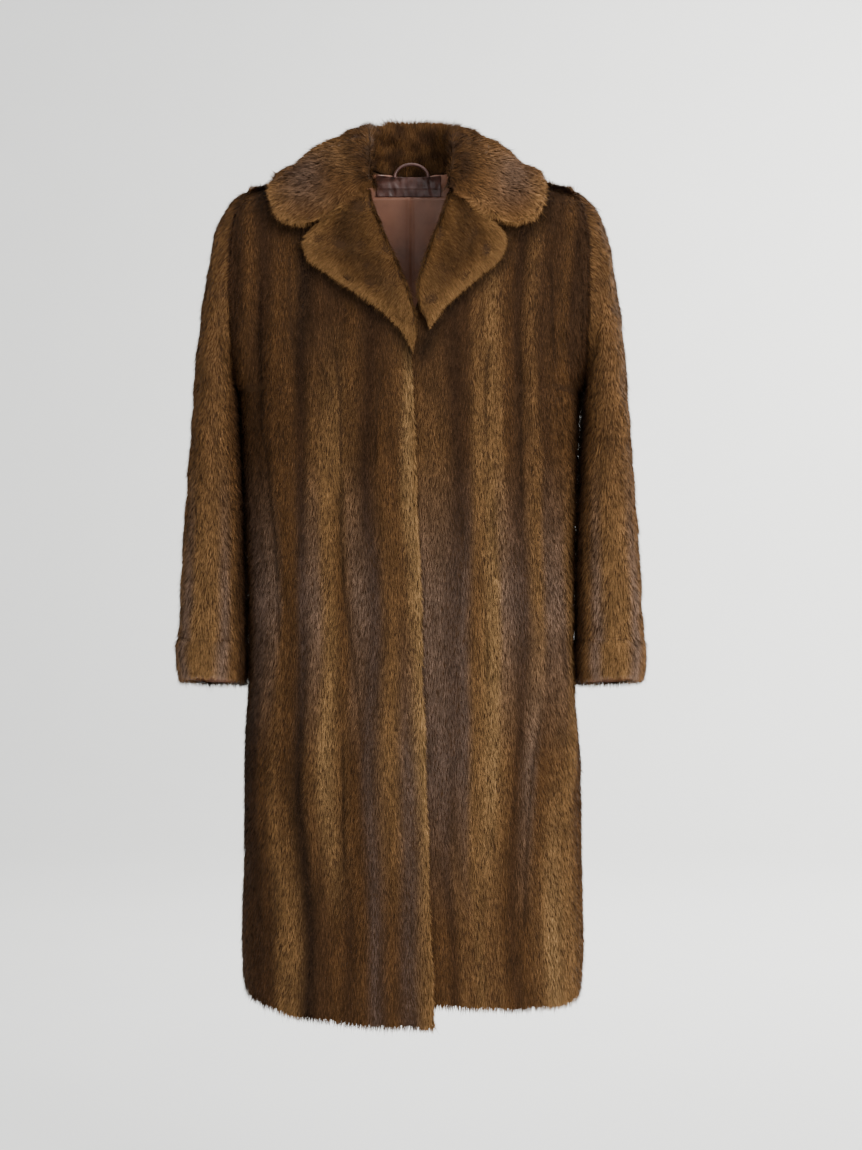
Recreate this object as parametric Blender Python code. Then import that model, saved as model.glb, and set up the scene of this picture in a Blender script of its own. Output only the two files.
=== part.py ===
"""A knee-length fur coat, hanging from its loop with its form filled out.

Metres, +Z up, +Y towards the back of the coat and +X to the wearer's left. The origin is the point
under the top of the hanging loop where a hook would carry the coat. Each piece that a furrier cuts and
sews on is an object of its own: a wall as thick as the pelt with its pile lying down, 0.3 mm or so
from its neighbours.
"""

import bpy
import bmesh
import math
import numpy as np

# ---------------------------------------------------------------- driving sizes

WALL = 0.008            # pelt and lying pile of the body and the sleeves
COLLAR_WALL = 0.011     # two pelts, one turned under the other
SATIN = 0.0015          # lining
BAND = 0.002            # neck band
SEAM = 0.0003           # clearance at a seam
LAY = 0.0008            # clearance of what lies on a curved panel
ROLLED = 0.0018         # clearance of what lies over the rounded shoulders
SHOULDER_LIFT = 0.0044  # more of it at the ends of the shoulders, where both are bent most
BOWED = 0.0015          # clearance of the right lapel and the neck band
ARM_SEAM = 0.0006       # clearance round the armhole
LAP = WALL + LAY        # the right front lies this far over the left one

SEAM_Y = -0.0402        # side seams, shoulder seams and sleeves are centred on this plane
ROUND = 2.6             # squareness of the body's sections; 2 is an ellipse

NECK_X = 0.055          # neck points, where collar and shoulder seam meet
SHOULDER_X = 0.2045     # top of the armhole
SHOULDER_TOP = 0.0149   # the shoulder line, drawn on to the middle
SHOULDER_SLOPE = 0.27
FRONT_ROLL_OVER = 0.060  # the fronts are upright this far below the shoulder line
BACK_ROLL_OVER = 0.028   # the same for the back
BACK_NECK_DROP = 0.013   # middle of the back neckline, below the neck points

ARM_TOP = SHOULDER_TOP - SHOULDER_SLOPE * SHOULDER_X
ARM_BOTTOM = -0.290
ARM_HALF_DEPTH = 0.062

RIGHT, LEFT = -1, 1     # the wearer's; also the sign of x

# Half widths of the body at each height, right and left.
HALF_WIDTH = (  # z, right, left
    (0.030, 0.2045, 0.2045),
    (ARM_TOP, 0.2045, 0.2045),
    (-0.070, 0.2140, 0.2120),
    (-0.120, 0.2200, 0.2170),
    (-0.200, 0.2205, 0.2165),
    (ARM_BOTTOM, 0.2165, 0.2140),
    (-0.330, 0.2138, 0.2118),
    (-0.410, 0.2098, 0.2082),
    (-0.475, 0.2074, 0.2062),
    (-0.540, 0.2050, 0.2046),
    (-0.600, 0.2042, 0.2042),
    (-0.670, 0.2046, 0.2050),
    (-0.745, 0.2088, 0.2118),
    (-0.890, 0.2095, 0.2140),
    (-0.970, 0.2115, 0.2155),
    (-1.080, 0.2100, 0.2140),
)

# How far the front and the back stand out from the side seams.
DEPTH = (  # z, front, back
    (0.030, 0.046, 0.052),
    (-0.013, 0.052, 0.057),
    (-0.050, 0.060, 0.064),
    (-0.100, 0.072, 0.070),
    (-0.200, 0.088, 0.076),
    (-0.300, 0.092, 0.076),
    (-0.500, 0.088, 0.072),
    (-0.700, 0.089, 0.073),
    (-0.900, 0.093, 0.077),
    (-1.080, 0.097, 0.080),
)

# The inner edge of each front: the roll line of the lapel, then the closing edge.
RIGHT_EDGE = (  # z, x
    (0.030, -0.0560),
    (0.000, -0.0550),
    (-0.0546, -0.0477),
    (-0.110, -0.0300),
    (-0.184, 0.0000),
    (-0.235, 0.0085),
    (-0.300, 0.0108),
    (-0.553, 0.0178),
    (-0.850, 0.0255),
    (-1.080, 0.0325),
)
LEFT_EDGE = (  # z, x
    (0.030, 0.0560),
    (0.000, 0.0550),
    (-0.0546, 0.0440),
    (-0.110, 0.0270),
    (-0.184, 0.0010),
    (-0.235, -0.0180),
    (-0.300, -0.0270),
    (-1.080, -0.0270),
)

# The hem, by the share of the way from the middle to the side seam.
HEM = (  # share, right front, left front, back
    (-0.20, -1.0700, -1.0450, -1.0300),
    (0.00, -1.0690, -1.0450, -1.0300),
    (0.30, -1.0640, -1.0500, -1.0300),
    (0.70, -1.0500, -1.0520, -1.0290),
    (0.93, -1.0390, -1.0420, -1.0270),
    (1.00, -1.0230, -1.0260, -1.0230),
)

# Long soft folds of the fronts, deepest at mid length; a ridge is positive, a trough negative.
FRONT_FOLDS = (  # side, x at top, z at top, x at foot, z at foot, height, half width
    (RIGHT, -0.188, -0.140, -0.186, -0.440, -0.0040, 0.011),
    (RIGHT, -0.086, -0.280, -0.052, -0.760, -0.0035, 0.014),
    (RIGHT, -0.130, -0.480, -0.118, -1.200, 0.0040, 0.024),
    (RIGHT, -0.060, -0.620, -0.050, -1.200, 0.0035, 0.020),
    (LEFT, 0.150, -0.120, 0.146, -0.520, 0.0035, 0.014),
    (LEFT, 0.052, -0.300, 0.058, -1.200, 0.0030, 0.022),
    (LEFT, 0.128, -0.480, 0.140, -1.200, 0.0040, 0.022),
)
BACK_FOLDS = (
    (RIGHT, -0.130, -0.300, -0.138, -1.200, 0.0050, 0.026),
    (RIGHT, -0.050, -0.340, -0.058, -1.200, 0.0040, 0.024),
    (LEFT, 0.040, -0.320, 0.044, -1.200, 0.0045, 0.026),
    (LEFT, 0.128, -0.300, 0.132, -1.200, 0.0050, 0.024),
)

# Sections of the sleeve, fanned from the armhole down to the cuff. Each runs from a point at the
# underarm to one on the outer side, in distances from the middle of the coat.
SLEEVE = (  # inner x, inner z, outer x, outer z, half depth, bow
    (0.2177, -0.2950, 0.2200, -0.0520, 0.0630, 0.0065),
    (0.2175, -0.3000, 0.2350, -0.0720, 0.0645, 0.0050),
    (0.2170, -0.3060, 0.2450, -0.0990, 0.0665, 0.0030),
    (0.2160, -0.3130, 0.2510, -0.1340, 0.0685, 0.0010),
    (0.2154, -0.3220, 0.2590, -0.1800, 0.0705, 0.0),
    (0.2145, -0.3360, 0.2665, -0.2400, 0.0730, 0.0),
    (0.2122, -0.3680, 0.2735, -0.3150, 0.0745, 0.0),
    (0.2098, -0.4180, 0.2795, -0.3900, 0.0735, 0.0),
    (0.2078, -0.4800, 0.2850, -0.4650, 0.0715, 0.0),
    (0.2062, -0.5450, 0.2895, -0.5350, 0.0690, 0.0),
    (0.2058, -0.6020, 0.2925, -0.5980, 0.0665, 0.0),
)
CUFF = (
    (0.2057, -0.6028, 0.2930, -0.5988, 0.0675, 0.0),
    (0.2054, -0.6180, 0.2955, -0.6140, 0.0690, 0.0),
    (0.2057, -0.6380, 0.2950, -0.6340, 0.0685, 0.0),
    (0.2068, -0.6560, 0.2925, -0.6540, 0.0670, 0.0),
)
CUFF_TILT = 0.14        # the mouth of the cuff is this much higher at the front than at the back

# The collar, half of it: its seam, by height on the fronts and by x on the back; where the roll
# crosses; and the free edge, by its drop from where it lies on the shoulder line, in front of that
# line (positive) or behind it (negative).
COLLAR = (  # neck seam z or x, roll x, roll y from the seam plane, roll z, edge x, edge drop
    (-0.0520, 0.0495, -0.0750, -0.0500, 0.0885, 0.0748),
    (-0.0400, 0.0510, -0.0670, -0.0360, 0.1280, 0.0848),
    (-0.0280, 0.0525, -0.0570, -0.0210, 0.1530, 0.0723),
    (-0.0170, 0.0540, -0.0440, -0.0050, 0.1660, 0.0513),
    (-0.0080, 0.0555, -0.0290, 0.0100, 0.1705, 0.0300),
    (-0.0030, 0.0568, -0.0140, 0.0215, 0.1705, 0.0110),
    (-0.0008, 0.0577, -0.0035, 0.0285, 0.1690, 0.0028),
    (0.0550, 0.0585, 0.0070, 0.0350, 0.1660, 0.0000),
    (0.0525, 0.0582, 0.0165, 0.0400, 0.1560, -0.0060),
    (0.0475, 0.0560, 0.0320, 0.0470, 0.1400, -0.0210),
    (0.0380, 0.0485, 0.0465, 0.0515, 0.1150, -0.0400),
    (0.0260, 0.0350, 0.0560, 0.0545, 0.0800, -0.0580),
    (0.0130, 0.0190, 0.0605, 0.0565, 0.0420, -0.0700),
    (0.0000, 0.0000, 0.0620, 0.0572, 0.0000, -0.0780),
)
FRONT_COLLAR_ROWS = 7   # this many rows stand on the front's neck edge, the rest on the back's
COLLAR_REACH = {RIGHT: 1.0, LEFT: 0.957}
STAND_STEPS, FALL_STEPS = 4, 7

# The lapels: roll edge and free edge from the gorge down to the break.
RIGHT_LAPEL = (  # roll x, roll z, edge x, edge z
    (-0.0488, -0.0635, -0.0870, -0.0818),
    (-0.0440, -0.0800, -0.1130, -0.0980),
    (-0.0372, -0.0970, -0.1265, -0.1190),
    (-0.0300, -0.1150, -0.1215, -0.1370),
    (-0.0205, -0.1370, -0.0950, -0.1570),
    (-0.0110, -0.1600, -0.0600, -0.1820),
    (-0.0020, -0.1850, -0.0250, -0.2080),
    (0.0045, -0.2100, -0.0050, -0.2320),
    (0.0080, -0.2350, 0.0040, -0.2550),
)
LEFT_LAPEL = (
    (0.0455, -0.0650, 0.0840, -0.0815),
    (0.0400, -0.0820, 0.1020, -0.0960),
    (0.0340, -0.0980, 0.1125, -0.1150),
    (0.0270, -0.1150, 0.1050, -0.1370),
    (0.0200, -0.1350, 0.0830, -0.1570),
    (0.0130, -0.1570, 0.0560, -0.1800),
    (0.0100, -0.1800, 0.0340, -0.2020),
    (0.0120, -0.2020, 0.0230, -0.2260),
    (0.0130, -0.2250, 0.0175, -0.2450),
)
LAPEL_FULL = 0.0135     # at the roll
LAPEL_THIN = 0.0090     # at the free edge
LAPEL_STEPS = 6

BAND_X = (-0.0450, 0.0375)
BAND_Z = (-0.0130, -0.0370)
LINING_Z = (-0.0376, -0.2600)
LINING_HALF = (0.050, 0.100)     # at its top and at its foot
LOOP_HALF, LOOP_RADIUS, LOOP_FOOT_Z = 0.0215, 0.0021, -0.0150
LOOP_SIDES, LOOP_RINGS = 8, 13

FUR_BROWN = (0.105, 0.048, 0.018)
FUR_GOLD = (0.200, 0.105, 0.045)
FUR_DARK = (0.060, 0.028, 0.013)
SATIN_MOCHA = (0.150, 0.075, 0.055)
LEATHER = (0.075, 0.030, 0.022)


# ---------------------------------------------------------------- reading tables

def smooth(table, column, key):
    """The table's column at this key, on a smooth curve that never overshoots its rows."""
    rows = sorted(table)
    keys = np.array([row[0] for row in rows])
    values = np.array([row[column] for row in rows])
    steps = np.diff(values) / np.diff(keys)
    slopes = np.zeros(len(keys))
    for i in range(1, len(keys) - 1):
        if steps[i - 1] * steps[i] > 0:
            slopes[i] = 2 * steps[i - 1] * steps[i] / (steps[i - 1] + steps[i])
    i = int(np.clip(np.searchsorted(keys, key) - 1, 0, len(keys) - 2))
    width = keys[i + 1] - keys[i]
    t = float(np.clip((key - keys[i]) / width, 0.0, 1.0))
    return float(
        values[i] * (1 + 2 * t) * (1 - t) ** 2
        + values[i + 1] * t * t * (3 - 2 * t)
        + width * (slopes[i] * t * (1 - t) ** 2 - slopes[i + 1] * t * t * (1 - t))
    )


def ease(low, high, value):
    t = min(max((value - low) / (high - low), 0.0), 1.0)
    return t * t * (3 - 2 * t)


# ---------------------------------------------------------------- the body's form

def shoulder_z(x):
    return SHOULDER_TOP - SHOULDER_SLOPE * abs(x)


def half_width(side, z):
    return smooth(HALF_WIDTH, 1 if side == RIGHT else 2, z)


def arm_half(z):
    """Half the armhole's depth at a height, none above and below it."""
    middle = (ARM_TOP + ARM_BOTTOM) / 2
    share = (z - middle) / (ARM_TOP - middle)
    return ARM_HALF_DEPTH * math.sqrt(max(0.0, 1 - share * share))


def quarter(share):
    """A quarter round, from 0 at the shoulder line to 1 where the cloth is upright."""
    share = min(max(share, 0.0), 1.0)
    return math.sqrt(1 - (1 - share) ** 2)


def fold_height(folds, x, z):
    height = 0.0
    for side, x_top, z_top, x_foot, z_foot, size, half in folds:
        along = (z_top - z) / (z_top - z_foot)
        if 0 < along < 1:
            middle = x_top + (x_foot - x_top) * along
            strength = math.sin(math.pi * along) ** 0.7
            height += size * strength * math.exp(-(((x - middle) / half) ** 2))
    return height


def depth_at(x, z, out, column, roll_over):
    """How far the body stands from the seam plane at a place, moved out by a distance."""
    side = RIGHT if x < 0 else LEFT
    reach = half_width(side, z) + out
    arm = arm_half(z)
    upright = quarter((shoulder_z(x) + out - z) / (roll_over + out))
    across = max(0.0, 1 - min(abs(x) / reach, 1.0) ** ROUND) ** (1 / ROUND)
    return arm + max(smooth(DEPTH, column, z) + out - arm, 0.001) * upright * across


def front_point(x, z, out=0.0, lapped=False):
    """On a front, moved out. The right front is lapped: it lies over the left one at the middle."""
    y = SEAM_Y - SEAM - depth_at(x, z, out, 1, FRONT_ROLL_OVER) - fold_height(FRONT_FOLDS, x, z)
    if lapped:
        y -= LAP * ease(-0.105, -0.034, x) * ease(-0.030, -0.080, z)
    return (x, y, z)


def back_point(x, z, out=0.0):
    y = SEAM_Y + SEAM + depth_at(x, z, out, 2, BACK_ROLL_OVER) + fold_height(BACK_FOLDS, x, z)
    return (x, y, z)


def armhole_point(side, turn, inset=0.0):
    """Round the armhole, from its top and by way of the front."""
    middle = (ARM_TOP + ARM_BOTTOM) / 2
    half = (ARM_TOP - ARM_BOTTOM) / 2 - inset
    z = middle + half * math.cos(turn)
    y = SEAM_Y - (ARM_HALF_DEPTH - inset) * math.sin(turn)
    return (side * (half_width(side, z) + ARM_SEAM), y, z)


# ---------------------------------------------------------------- making pieces

def material(name, colour, roughness):
    finish = bpy.data.materials.new(name)
    finish.use_nodes = True
    shader = finish.node_tree.nodes["Principled BSDF"]
    shader.inputs["Base Color"].default_value = (*colour, 1.0)
    shader.inputs["Roughness"].default_value = roughness
    return finish


def add_piece(name, bm, colour, roughness=0.75):
    bmesh.ops.recalc_face_normals(bm, faces=bm.faces)
    mesh = bpy.data.meshes.new(name)
    bm.to_mesh(mesh)
    bm.free()
    mesh.materials.append(material(name, colour, roughness))
    mesh.shade_smooth()
    mesh.set_sharp_from_angle(angle=math.radians(50))
    piece = bpy.data.objects.new(name, mesh)
    bpy.context.scene.collection.objects.link(piece)
    return piece


def wall(outer, inner, closed=False):
    """A solid between two grids of points: rows of equal length, closed round when they are loops."""
    bm = bmesh.new()
    skins = []
    for grid in (outer, inner):
        skins.append([[bm.verts.new(point) for point in row] for row in grid])
    rows, columns = len(outer), len(outer[0])
    last = columns if closed else columns - 1
    for flip, skin in enumerate(skins):
        for i in range(rows - 1):
            for j in range(last):
                k = (j + 1) % columns
                face = (skin[i][j], skin[i][k], skin[i + 1][k], skin[i + 1][j])
                bm.faces.new(face[::-1] if flip else face)
    top, bottom = skins
    for i, order in ((0, 1), (rows - 1, -1)):
        for j in range(last):
            k = (j + 1) % columns
            bm.faces.new((top[i][j], bottom[i][j], bottom[i][k], top[i][k])[::order])
    if not closed:
        for j, order in ((0, -1), (columns - 1, 1)):
            for i in range(rows - 1):
                face = (top[i][j], bottom[i][j], bottom[i + 1][j], top[i + 1][j])
                bm.faces.new(face[::order])
    return bm


def thicken(grid, out, into):
    """Two skins either side of a grid, along its normals."""
    points = np.array(grid, dtype=float)
    down, across = np.gradient(points, axis=0), np.gradient(points, axis=1)
    normals = np.cross(down, across)
    normals /= np.linalg.norm(normals, axis=2, keepdims=True)
    return (points + normals * out).tolist(), (points - normals * into).tolist()


# ---------------------------------------------------------------- fronts and back

ROWS = (0.0, 0.0045, 0.013, 0.028, 0.048, 0.075, 0.110, 0.150, 0.190, 0.220, 0.240, 0.2535,
        0.290, 0.350, 0.430, 0.520, 0.610, 0.700, 0.790, 0.880, 0.955, 1.0)
FRONT_COLUMNS = 15
BACK_COLUMNS = 23


def hem_z(share, column):
    return smooth(HEM, column, share)


def front_grid(side, out):
    """Rows from the shoulder seam to the hem; columns from the closing edge to the side seam."""
    table = RIGHT_EDGE if side == RIGHT else LEFT_EDGE
    column = 1 if side == RIGHT else 2
    grid = []
    for v in ROWS:
        row = []
        for j in range(FRONT_COLUMNS):
            s = j / (FRONT_COLUMNS - 1)
            top = shoulder_z(NECK_X + (SHOULDER_X - NECK_X) * s)
            z = top + (hem_z(s, column) - top) * v
            edge = smooth(table, 1, z)
            reach = half_width(side, z)
            first = math.copysign(math.asin((abs(edge) / reach) ** (ROUND / 2)), edge * side)
            turn = first + (math.pi / 2 - first) * s
            x = side * math.copysign(abs(math.sin(turn)) ** (2 / ROUND), turn) * reach
            if v == 0.0:
                x = side * (NECK_X + (SHOULDER_X - NECK_X) * s)
            row.append(inset_front(side, x, z, s, out))
        grid.append(row)
    return grid


def inset_front(side, x, z, s, out):
    """A point of the panel's outer skin, or of its inner one when out is negative."""
    reach = half_width(side, z)
    z_low = z + out * (1 - ease(0.0, 0.05, shoulder_z(x) - z))
    x_low = x * (reach + out) / reach if s > 0.5 else x + (x * out / reach) * ease(0.0, 0.5, s)
    return front_point(x_low, z_low, out, lapped=side == RIGHT)


def back_grid(out):
    grid = []
    for v in ROWS:
        row = []
        for j in range(BACK_COLUMNS):
            s = 2 * j / (BACK_COLUMNS - 1) - 1
            side = RIGHT if s < 0 else LEFT
            x_top = math.copysign(SHOULDER_X * abs(s), s)
            top = shoulder_z(x_top)
            if abs(x_top) < NECK_X:
                dip = BACK_NECK_DROP * math.sqrt(1 - (x_top / NECK_X) ** 2)
                top = shoulder_z(NECK_X) - dip
            z = top + (hem_z(abs(s), 3) - top) * v
            reach = half_width(side, z)
            blend = ease(0.0, 0.10, v)
            even = math.sin(math.pi / 2 * abs(s)) ** (2 / ROUND) * reach
            straight = abs(x_top) * reach / SHOULDER_X
            x = math.copysign(straight * (1 - blend) + even * blend, s)
            z_low = z + out * (1 - ease(0.0, 0.04, shoulder_z(x) - z)) * ease(0.5, 1.0, abs(x) / NECK_X)
            row.append(back_point(x * (reach + out) / reach, z_low, out))
        grid.append(row)
    return grid


# ---------------------------------------------------------------- sleeves

SLEEVE_SIDES = 24
SLEEVE_ROUND = 2.2


def sleeve_loop(side, row, inset, tilt=0.0):
    inner_x, inner_z, outer_x, outer_z, half_depth, bow = row
    middle = ((inner_x + outer_x) / 2, (inner_z + outer_z) / 2)
    along = (outer_x - inner_x, outer_z - inner_z)
    length = math.hypot(*along)
    along = (along[0] / length, along[1] / length)
    loop = []
    for k in range(SLEEVE_SIDES):
        turn = 2 * math.pi * k / SLEEVE_SIDES
        c, s = math.cos(turn), math.sin(turn)
        c = math.copysign(abs(c) ** (2 / SLEEVE_ROUND), c) * (length / 2 - inset)
        y = SEAM_Y - math.copysign(abs(s) ** (2 / SLEEVE_ROUND), s) * (half_depth - inset)
        x = middle[0] + along[0] * c + bow * (1 - (2 * c / length) ** 2)
        loop.append((side * x, y, middle[1] + along[1] * c - tilt * (y - SEAM_Y)))
    return loop


def sleeve_grid(side, inset):
    turns = [2 * math.pi * k / SLEEVE_SIDES for k in range(SLEEVE_SIDES)]
    grid = [[armhole_point(side, turn, inset) for turn in turns]]
    return grid + [sleeve_loop(side, row, inset) for row in SLEEVE]


def cuff_grid(side, inset):
    return [
        sleeve_loop(side, row, inset, CUFF_TILT * ease(0, len(CUFF) - 1, i))
        for i, row in enumerate(CUFF)
    ]


# ---------------------------------------------------------------- collar

def clear_of_body(point, need):
    """Moved out or up, if it must be, to lie at least this far off the body."""
    x, y, z = point
    rise = shoulder_z(x) + need - z
    if rise > 0:
        if y < SEAM_Y:
            clear = min(y, front_point(x, z, need)[1], front_point(x, z)[1] - need)
        else:
            clear = max(y, back_point(x, z, need)[1], back_point(x, z)[1] + need)
        if rise < abs(clear - y):
            z += rise
        else:
            y = clear
    return np.array((x, y, z))


def bezier(a, b, c, d, t):
    return a * (1 - t) ** 3 + b * 3 * t * (1 - t) ** 2 + c * 3 * t * t * (1 - t) + d * t ** 3


def collar_row(side, index):
    """The middle of the collar's wall: up the stand, over the roll and down to the free edge."""
    seam, roll_x, roll_y, roll_z, edge_x, drop = COLLAR[index]
    half = COLLAR_WALL / 2
    reach = COLLAR_REACH[side] if edge_x else 1.0
    x_edge = side * edge_x * reach
    need = half + ROLLED
    z_edge = shoulder_z(x_edge) + need - abs(drop)
    place = front_point if drop > 0 else back_point
    edge = np.array(place(x_edge, z_edge, need))
    roll = np.array((side * roll_x, SEAM_Y + roll_y, roll_z))
    if index < FRONT_COLLAR_ROWS:
        foot_x = abs(smooth(RIGHT_EDGE if side == RIGHT else LEFT_EDGE, 1, seam))
        foot = np.array(front_point(side * foot_x, seam, need))
    else:
        dip = BACK_NECK_DROP * math.sqrt(max(0.0, 1 - (seam / NECK_X) ** 2))
        foot = np.array(back_point(side * seam, shoulder_z(NECK_X) - dip))
        foot += np.array((0.0, -half * ease(0, NECK_X, NECK_X - seam), 2 * SEAM))
    up = roll - foot
    up /= np.linalg.norm(up)
    out = edge - roll
    out -= up * np.dot(out, up)
    out /= np.linalg.norm(out)
    rise = np.linalg.norm(roll - foot)
    fall = np.linalg.norm(edge - roll)
    bend = min(0.45 * rise, 0.012)
    row = [
        bezier(foot, foot + up * rise * 0.4, roll - out * bend - up * bend * 0.2, roll, t)
        for t in np.linspace(0, 1, STAND_STEPS + 1)[:-1]
    ]
    over = roll + out * min(0.28 * fall, 0.030)
    down = edge + (roll - edge) * 0.33 + up * 0.004
    for t in np.linspace(0, 1, FALL_STEPS + 1):
        row.append(clear_of_body(bezier(roll, over, down, edge, t), need))
    return row


def collar_skins():
    """Both skins; where the under one would press into the body, both are moved out."""
    last = len(COLLAR) - 1
    grid = [collar_row(RIGHT, i) for i in range(last + 1)]
    grid += [collar_row(LEFT, i) for i in range(last - 1, -1, -1)]
    outer, inner = thicken(grid, COLLAR_WALL / 2, COLLAR_WALL / 2)
    for outer_row, inner_row in zip(outer, inner):
        for j in range(STAND_STEPS + 1, STAND_STEPS + FALL_STEPS + 1):
            need = ROLLED + SHOULDER_LIFT * ease(0.09, 0.14, abs(inner_row[j][0]))
            push = clear_of_body(inner_row[j], need) - np.array(inner_row[j])
            outer_row[j] = tuple(np.array(outer_row[j]) + push)
            inner_row[j] = tuple(np.array(inner_row[j]) + push)
    return outer, inner


# ---------------------------------------------------------------- lapels, lining, band and loop

def lapel_skins(rows, lapped):
    """Lying on a front: full at the roll, thinner at the free edge."""
    lie = BOWED if lapped else LAY
    outer, inner = [], []
    for index, (roll_x, roll_z, edge_x, edge_z) in enumerate(rows):
        slim = 1 - 0.35 * ease(5, len(rows) - 1, index)
        outer_row, inner_row = [], []
        for j in range(LAPEL_STEPS + 1):
            t = j / LAPEL_STEPS
            x, z = roll_x + (edge_x - roll_x) * t, roll_z + (edge_z - roll_z) * t
            full = (LAPEL_FULL + (LAPEL_THIN - LAPEL_FULL) * t) * slim
            rounded = full * (0.80 + 0.20 * math.sin(math.pi * min(max(t, 0.0), 1.0)) ** 0.5)
            x_under, y_under, z_under = front_point(x, z, lie, lapped)
            inner_row.append((x_under, y_under, z_under))
            outer_row.append((x_under, y_under - rounded, z_under))
        outer.append(outer_row)
        inner.append(inner_row)
    return outer, inner


def lining_skins(x_span, z_span, columns, rows, near, thick):
    """On the inside of the back: x_span gives the side edges at the top and at the foot."""
    outer, inner = [], []
    for i in range(rows + 1):
        v = i / rows
        z = z_span[0] + (z_span[1] - z_span[0]) * v
        low, high = (a + (b - a) * v for a, b in x_span)
        xs = [low + (high - low) * j / columns for j in range(columns + 1)]
        outer.append([back_point(x, z, -near) for x in xs])
        inner.append([back_point(x, z, -near - thick) for x in xs])
    return outer, inner


def hanging_loop():
    """A rolled strap bent to an arch, its ends against the neck band."""
    radius = LOOP_RADIUS
    rise = radius - LOOP_FOOT_Z
    grid = []
    for i in range(LOOP_RINGS):
        turn = math.pi * i / (LOOP_RINGS - 1)
        centre = np.array((-LOOP_HALF * math.cos(turn), 0.0, LOOP_FOOT_Z + rise * math.sin(turn)))
        along = np.array((LOOP_HALF * math.sin(turn), 0.0, rise * math.cos(turn)))
        along /= np.linalg.norm(along)
        side = np.array((0.0, 1.0, 0.0))
        other = np.cross(along, side)
        ring = []
        for k in range(LOOP_SIDES):
            angle = 2 * math.pi * (k + 0.5) / LOOP_SIDES
            ring.append(tuple(centre + radius * (side * math.cos(angle) + other * math.sin(angle))))
        grid.append(ring)
    bm = bmesh.new()
    rings = [[bm.verts.new(point) for point in ring] for ring in grid]
    for a, b in zip(rings, rings[1:]):
        for k in range(LOOP_SIDES):
            n = (k + 1) % LOOP_SIDES
            bm.faces.new((a[k], b[k], b[n], a[n]))
    bm.faces.new(rings[0])
    bm.faces.new(rings[-1][::-1])
    return bm


# ---------------------------------------------------------------- the coat

for leftover in list(bpy.data.objects):
    bpy.data.objects.remove(leftover, do_unlink=True)

for side, name in ((RIGHT, "right"), (LEFT, "left")):
    add_piece(f"front_{name}", wall(front_grid(side, 0.0), front_grid(side, -WALL)), FUR_BROWN)
    add_piece(
        f"sleeve_{name}", wall(sleeve_grid(side, 0.0), sleeve_grid(side, WALL), closed=True), FUR_BROWN
    )
    add_piece(f"cuff_{name}", wall(cuff_grid(side, 0.0), cuff_grid(side, WALL), closed=True), FUR_BROWN)
add_piece("back", wall(back_grid(0.0), back_grid(-WALL)), FUR_BROWN)

add_piece("collar", wall(*collar_skins()), FUR_DARK)
add_piece("lapel_right", wall(*lapel_skins(RIGHT_LAPEL, lapped=True)), FUR_GOLD)
add_piece("lapel_left", wall(*lapel_skins(LEFT_LAPEL, lapped=False)), FUR_GOLD)

add_piece(
    "lining_back",
    wall(*lining_skins(((-LINING_HALF[0], -LINING_HALF[1]), LINING_HALF), LINING_Z, 8, 7,
                       WALL + LAY, SATIN)),
    SATIN_MOCHA, 0.45,
)
add_piece(
    "neck_band",
    wall(*lining_skins(((BAND_X[0],) * 2, (BAND_X[1],) * 2), BAND_Z, 10, 2, WALL + BOWED, BAND)),
    LEATHER, 0.40,
)
add_piece("hanging_loop", hanging_loop(), LEATHER, 0.35)
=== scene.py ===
"""A knee-length fur coat of striped pelts, hanging from its loop.

Metres, +Z up, +Y towards the back of the coat and +X to the wearer's left. Each piece is a thin skin
with its own hair planted on it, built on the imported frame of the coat.
"""

import math

import bpy
import numpy as np
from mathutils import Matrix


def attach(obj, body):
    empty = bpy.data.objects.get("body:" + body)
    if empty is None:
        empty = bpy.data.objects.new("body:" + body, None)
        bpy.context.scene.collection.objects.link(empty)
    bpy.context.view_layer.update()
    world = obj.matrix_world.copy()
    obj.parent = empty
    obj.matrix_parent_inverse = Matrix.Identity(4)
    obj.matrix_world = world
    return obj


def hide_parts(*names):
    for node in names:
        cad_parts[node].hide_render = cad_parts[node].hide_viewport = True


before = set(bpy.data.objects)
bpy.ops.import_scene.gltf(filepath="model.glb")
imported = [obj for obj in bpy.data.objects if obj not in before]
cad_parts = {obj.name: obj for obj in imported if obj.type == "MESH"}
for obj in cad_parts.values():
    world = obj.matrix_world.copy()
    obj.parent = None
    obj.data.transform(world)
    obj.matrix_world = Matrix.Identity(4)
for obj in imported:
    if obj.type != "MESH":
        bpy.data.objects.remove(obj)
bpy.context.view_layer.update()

bl_info = {
    "name": "Fur coat",
    "version": (1, 0, 0),
    "blender": (4, 5, 0),
    "location": "3D View > Sidebar > Fur coat",
    "description": "Builds a hanging fur coat of striped pelts, with lapels, collar and cuffs",
    "category": "Add Mesh",
}

# ---------------------------------------------------------------- sizes of the cut

WALL = 0.008            # pelt and lying pile
COLLAR_WALL = 0.011
LAY, ROLLED, SHOULDER_LIFT, BOWED = 0.0008, 0.0018, 0.0044, 0.0015
SEAM, ARM_SEAM, LAP = 0.0003, 0.0006, 0.0088
SATIN, BAND = 0.0015, 0.002
SEAM_Y = -0.0402
ROUND = 2.6
NECK_X, SHOULDER_X, SHOULDER_TOP, SHOULDER_SLOPE = 0.055, 0.2045, 0.0149, 0.27
FRONT_ROLL_OVER, BACK_ROLL_OVER, BACK_NECK_DROP = 0.060, 0.028, 0.013
ARM_TOP = SHOULDER_TOP - SHOULDER_SLOPE * SHOULDER_X
ARM_BOTTOM, ARM_HALF_DEPTH = -0.290, 0.062
RIGHT, LEFT = -1, 1

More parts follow.
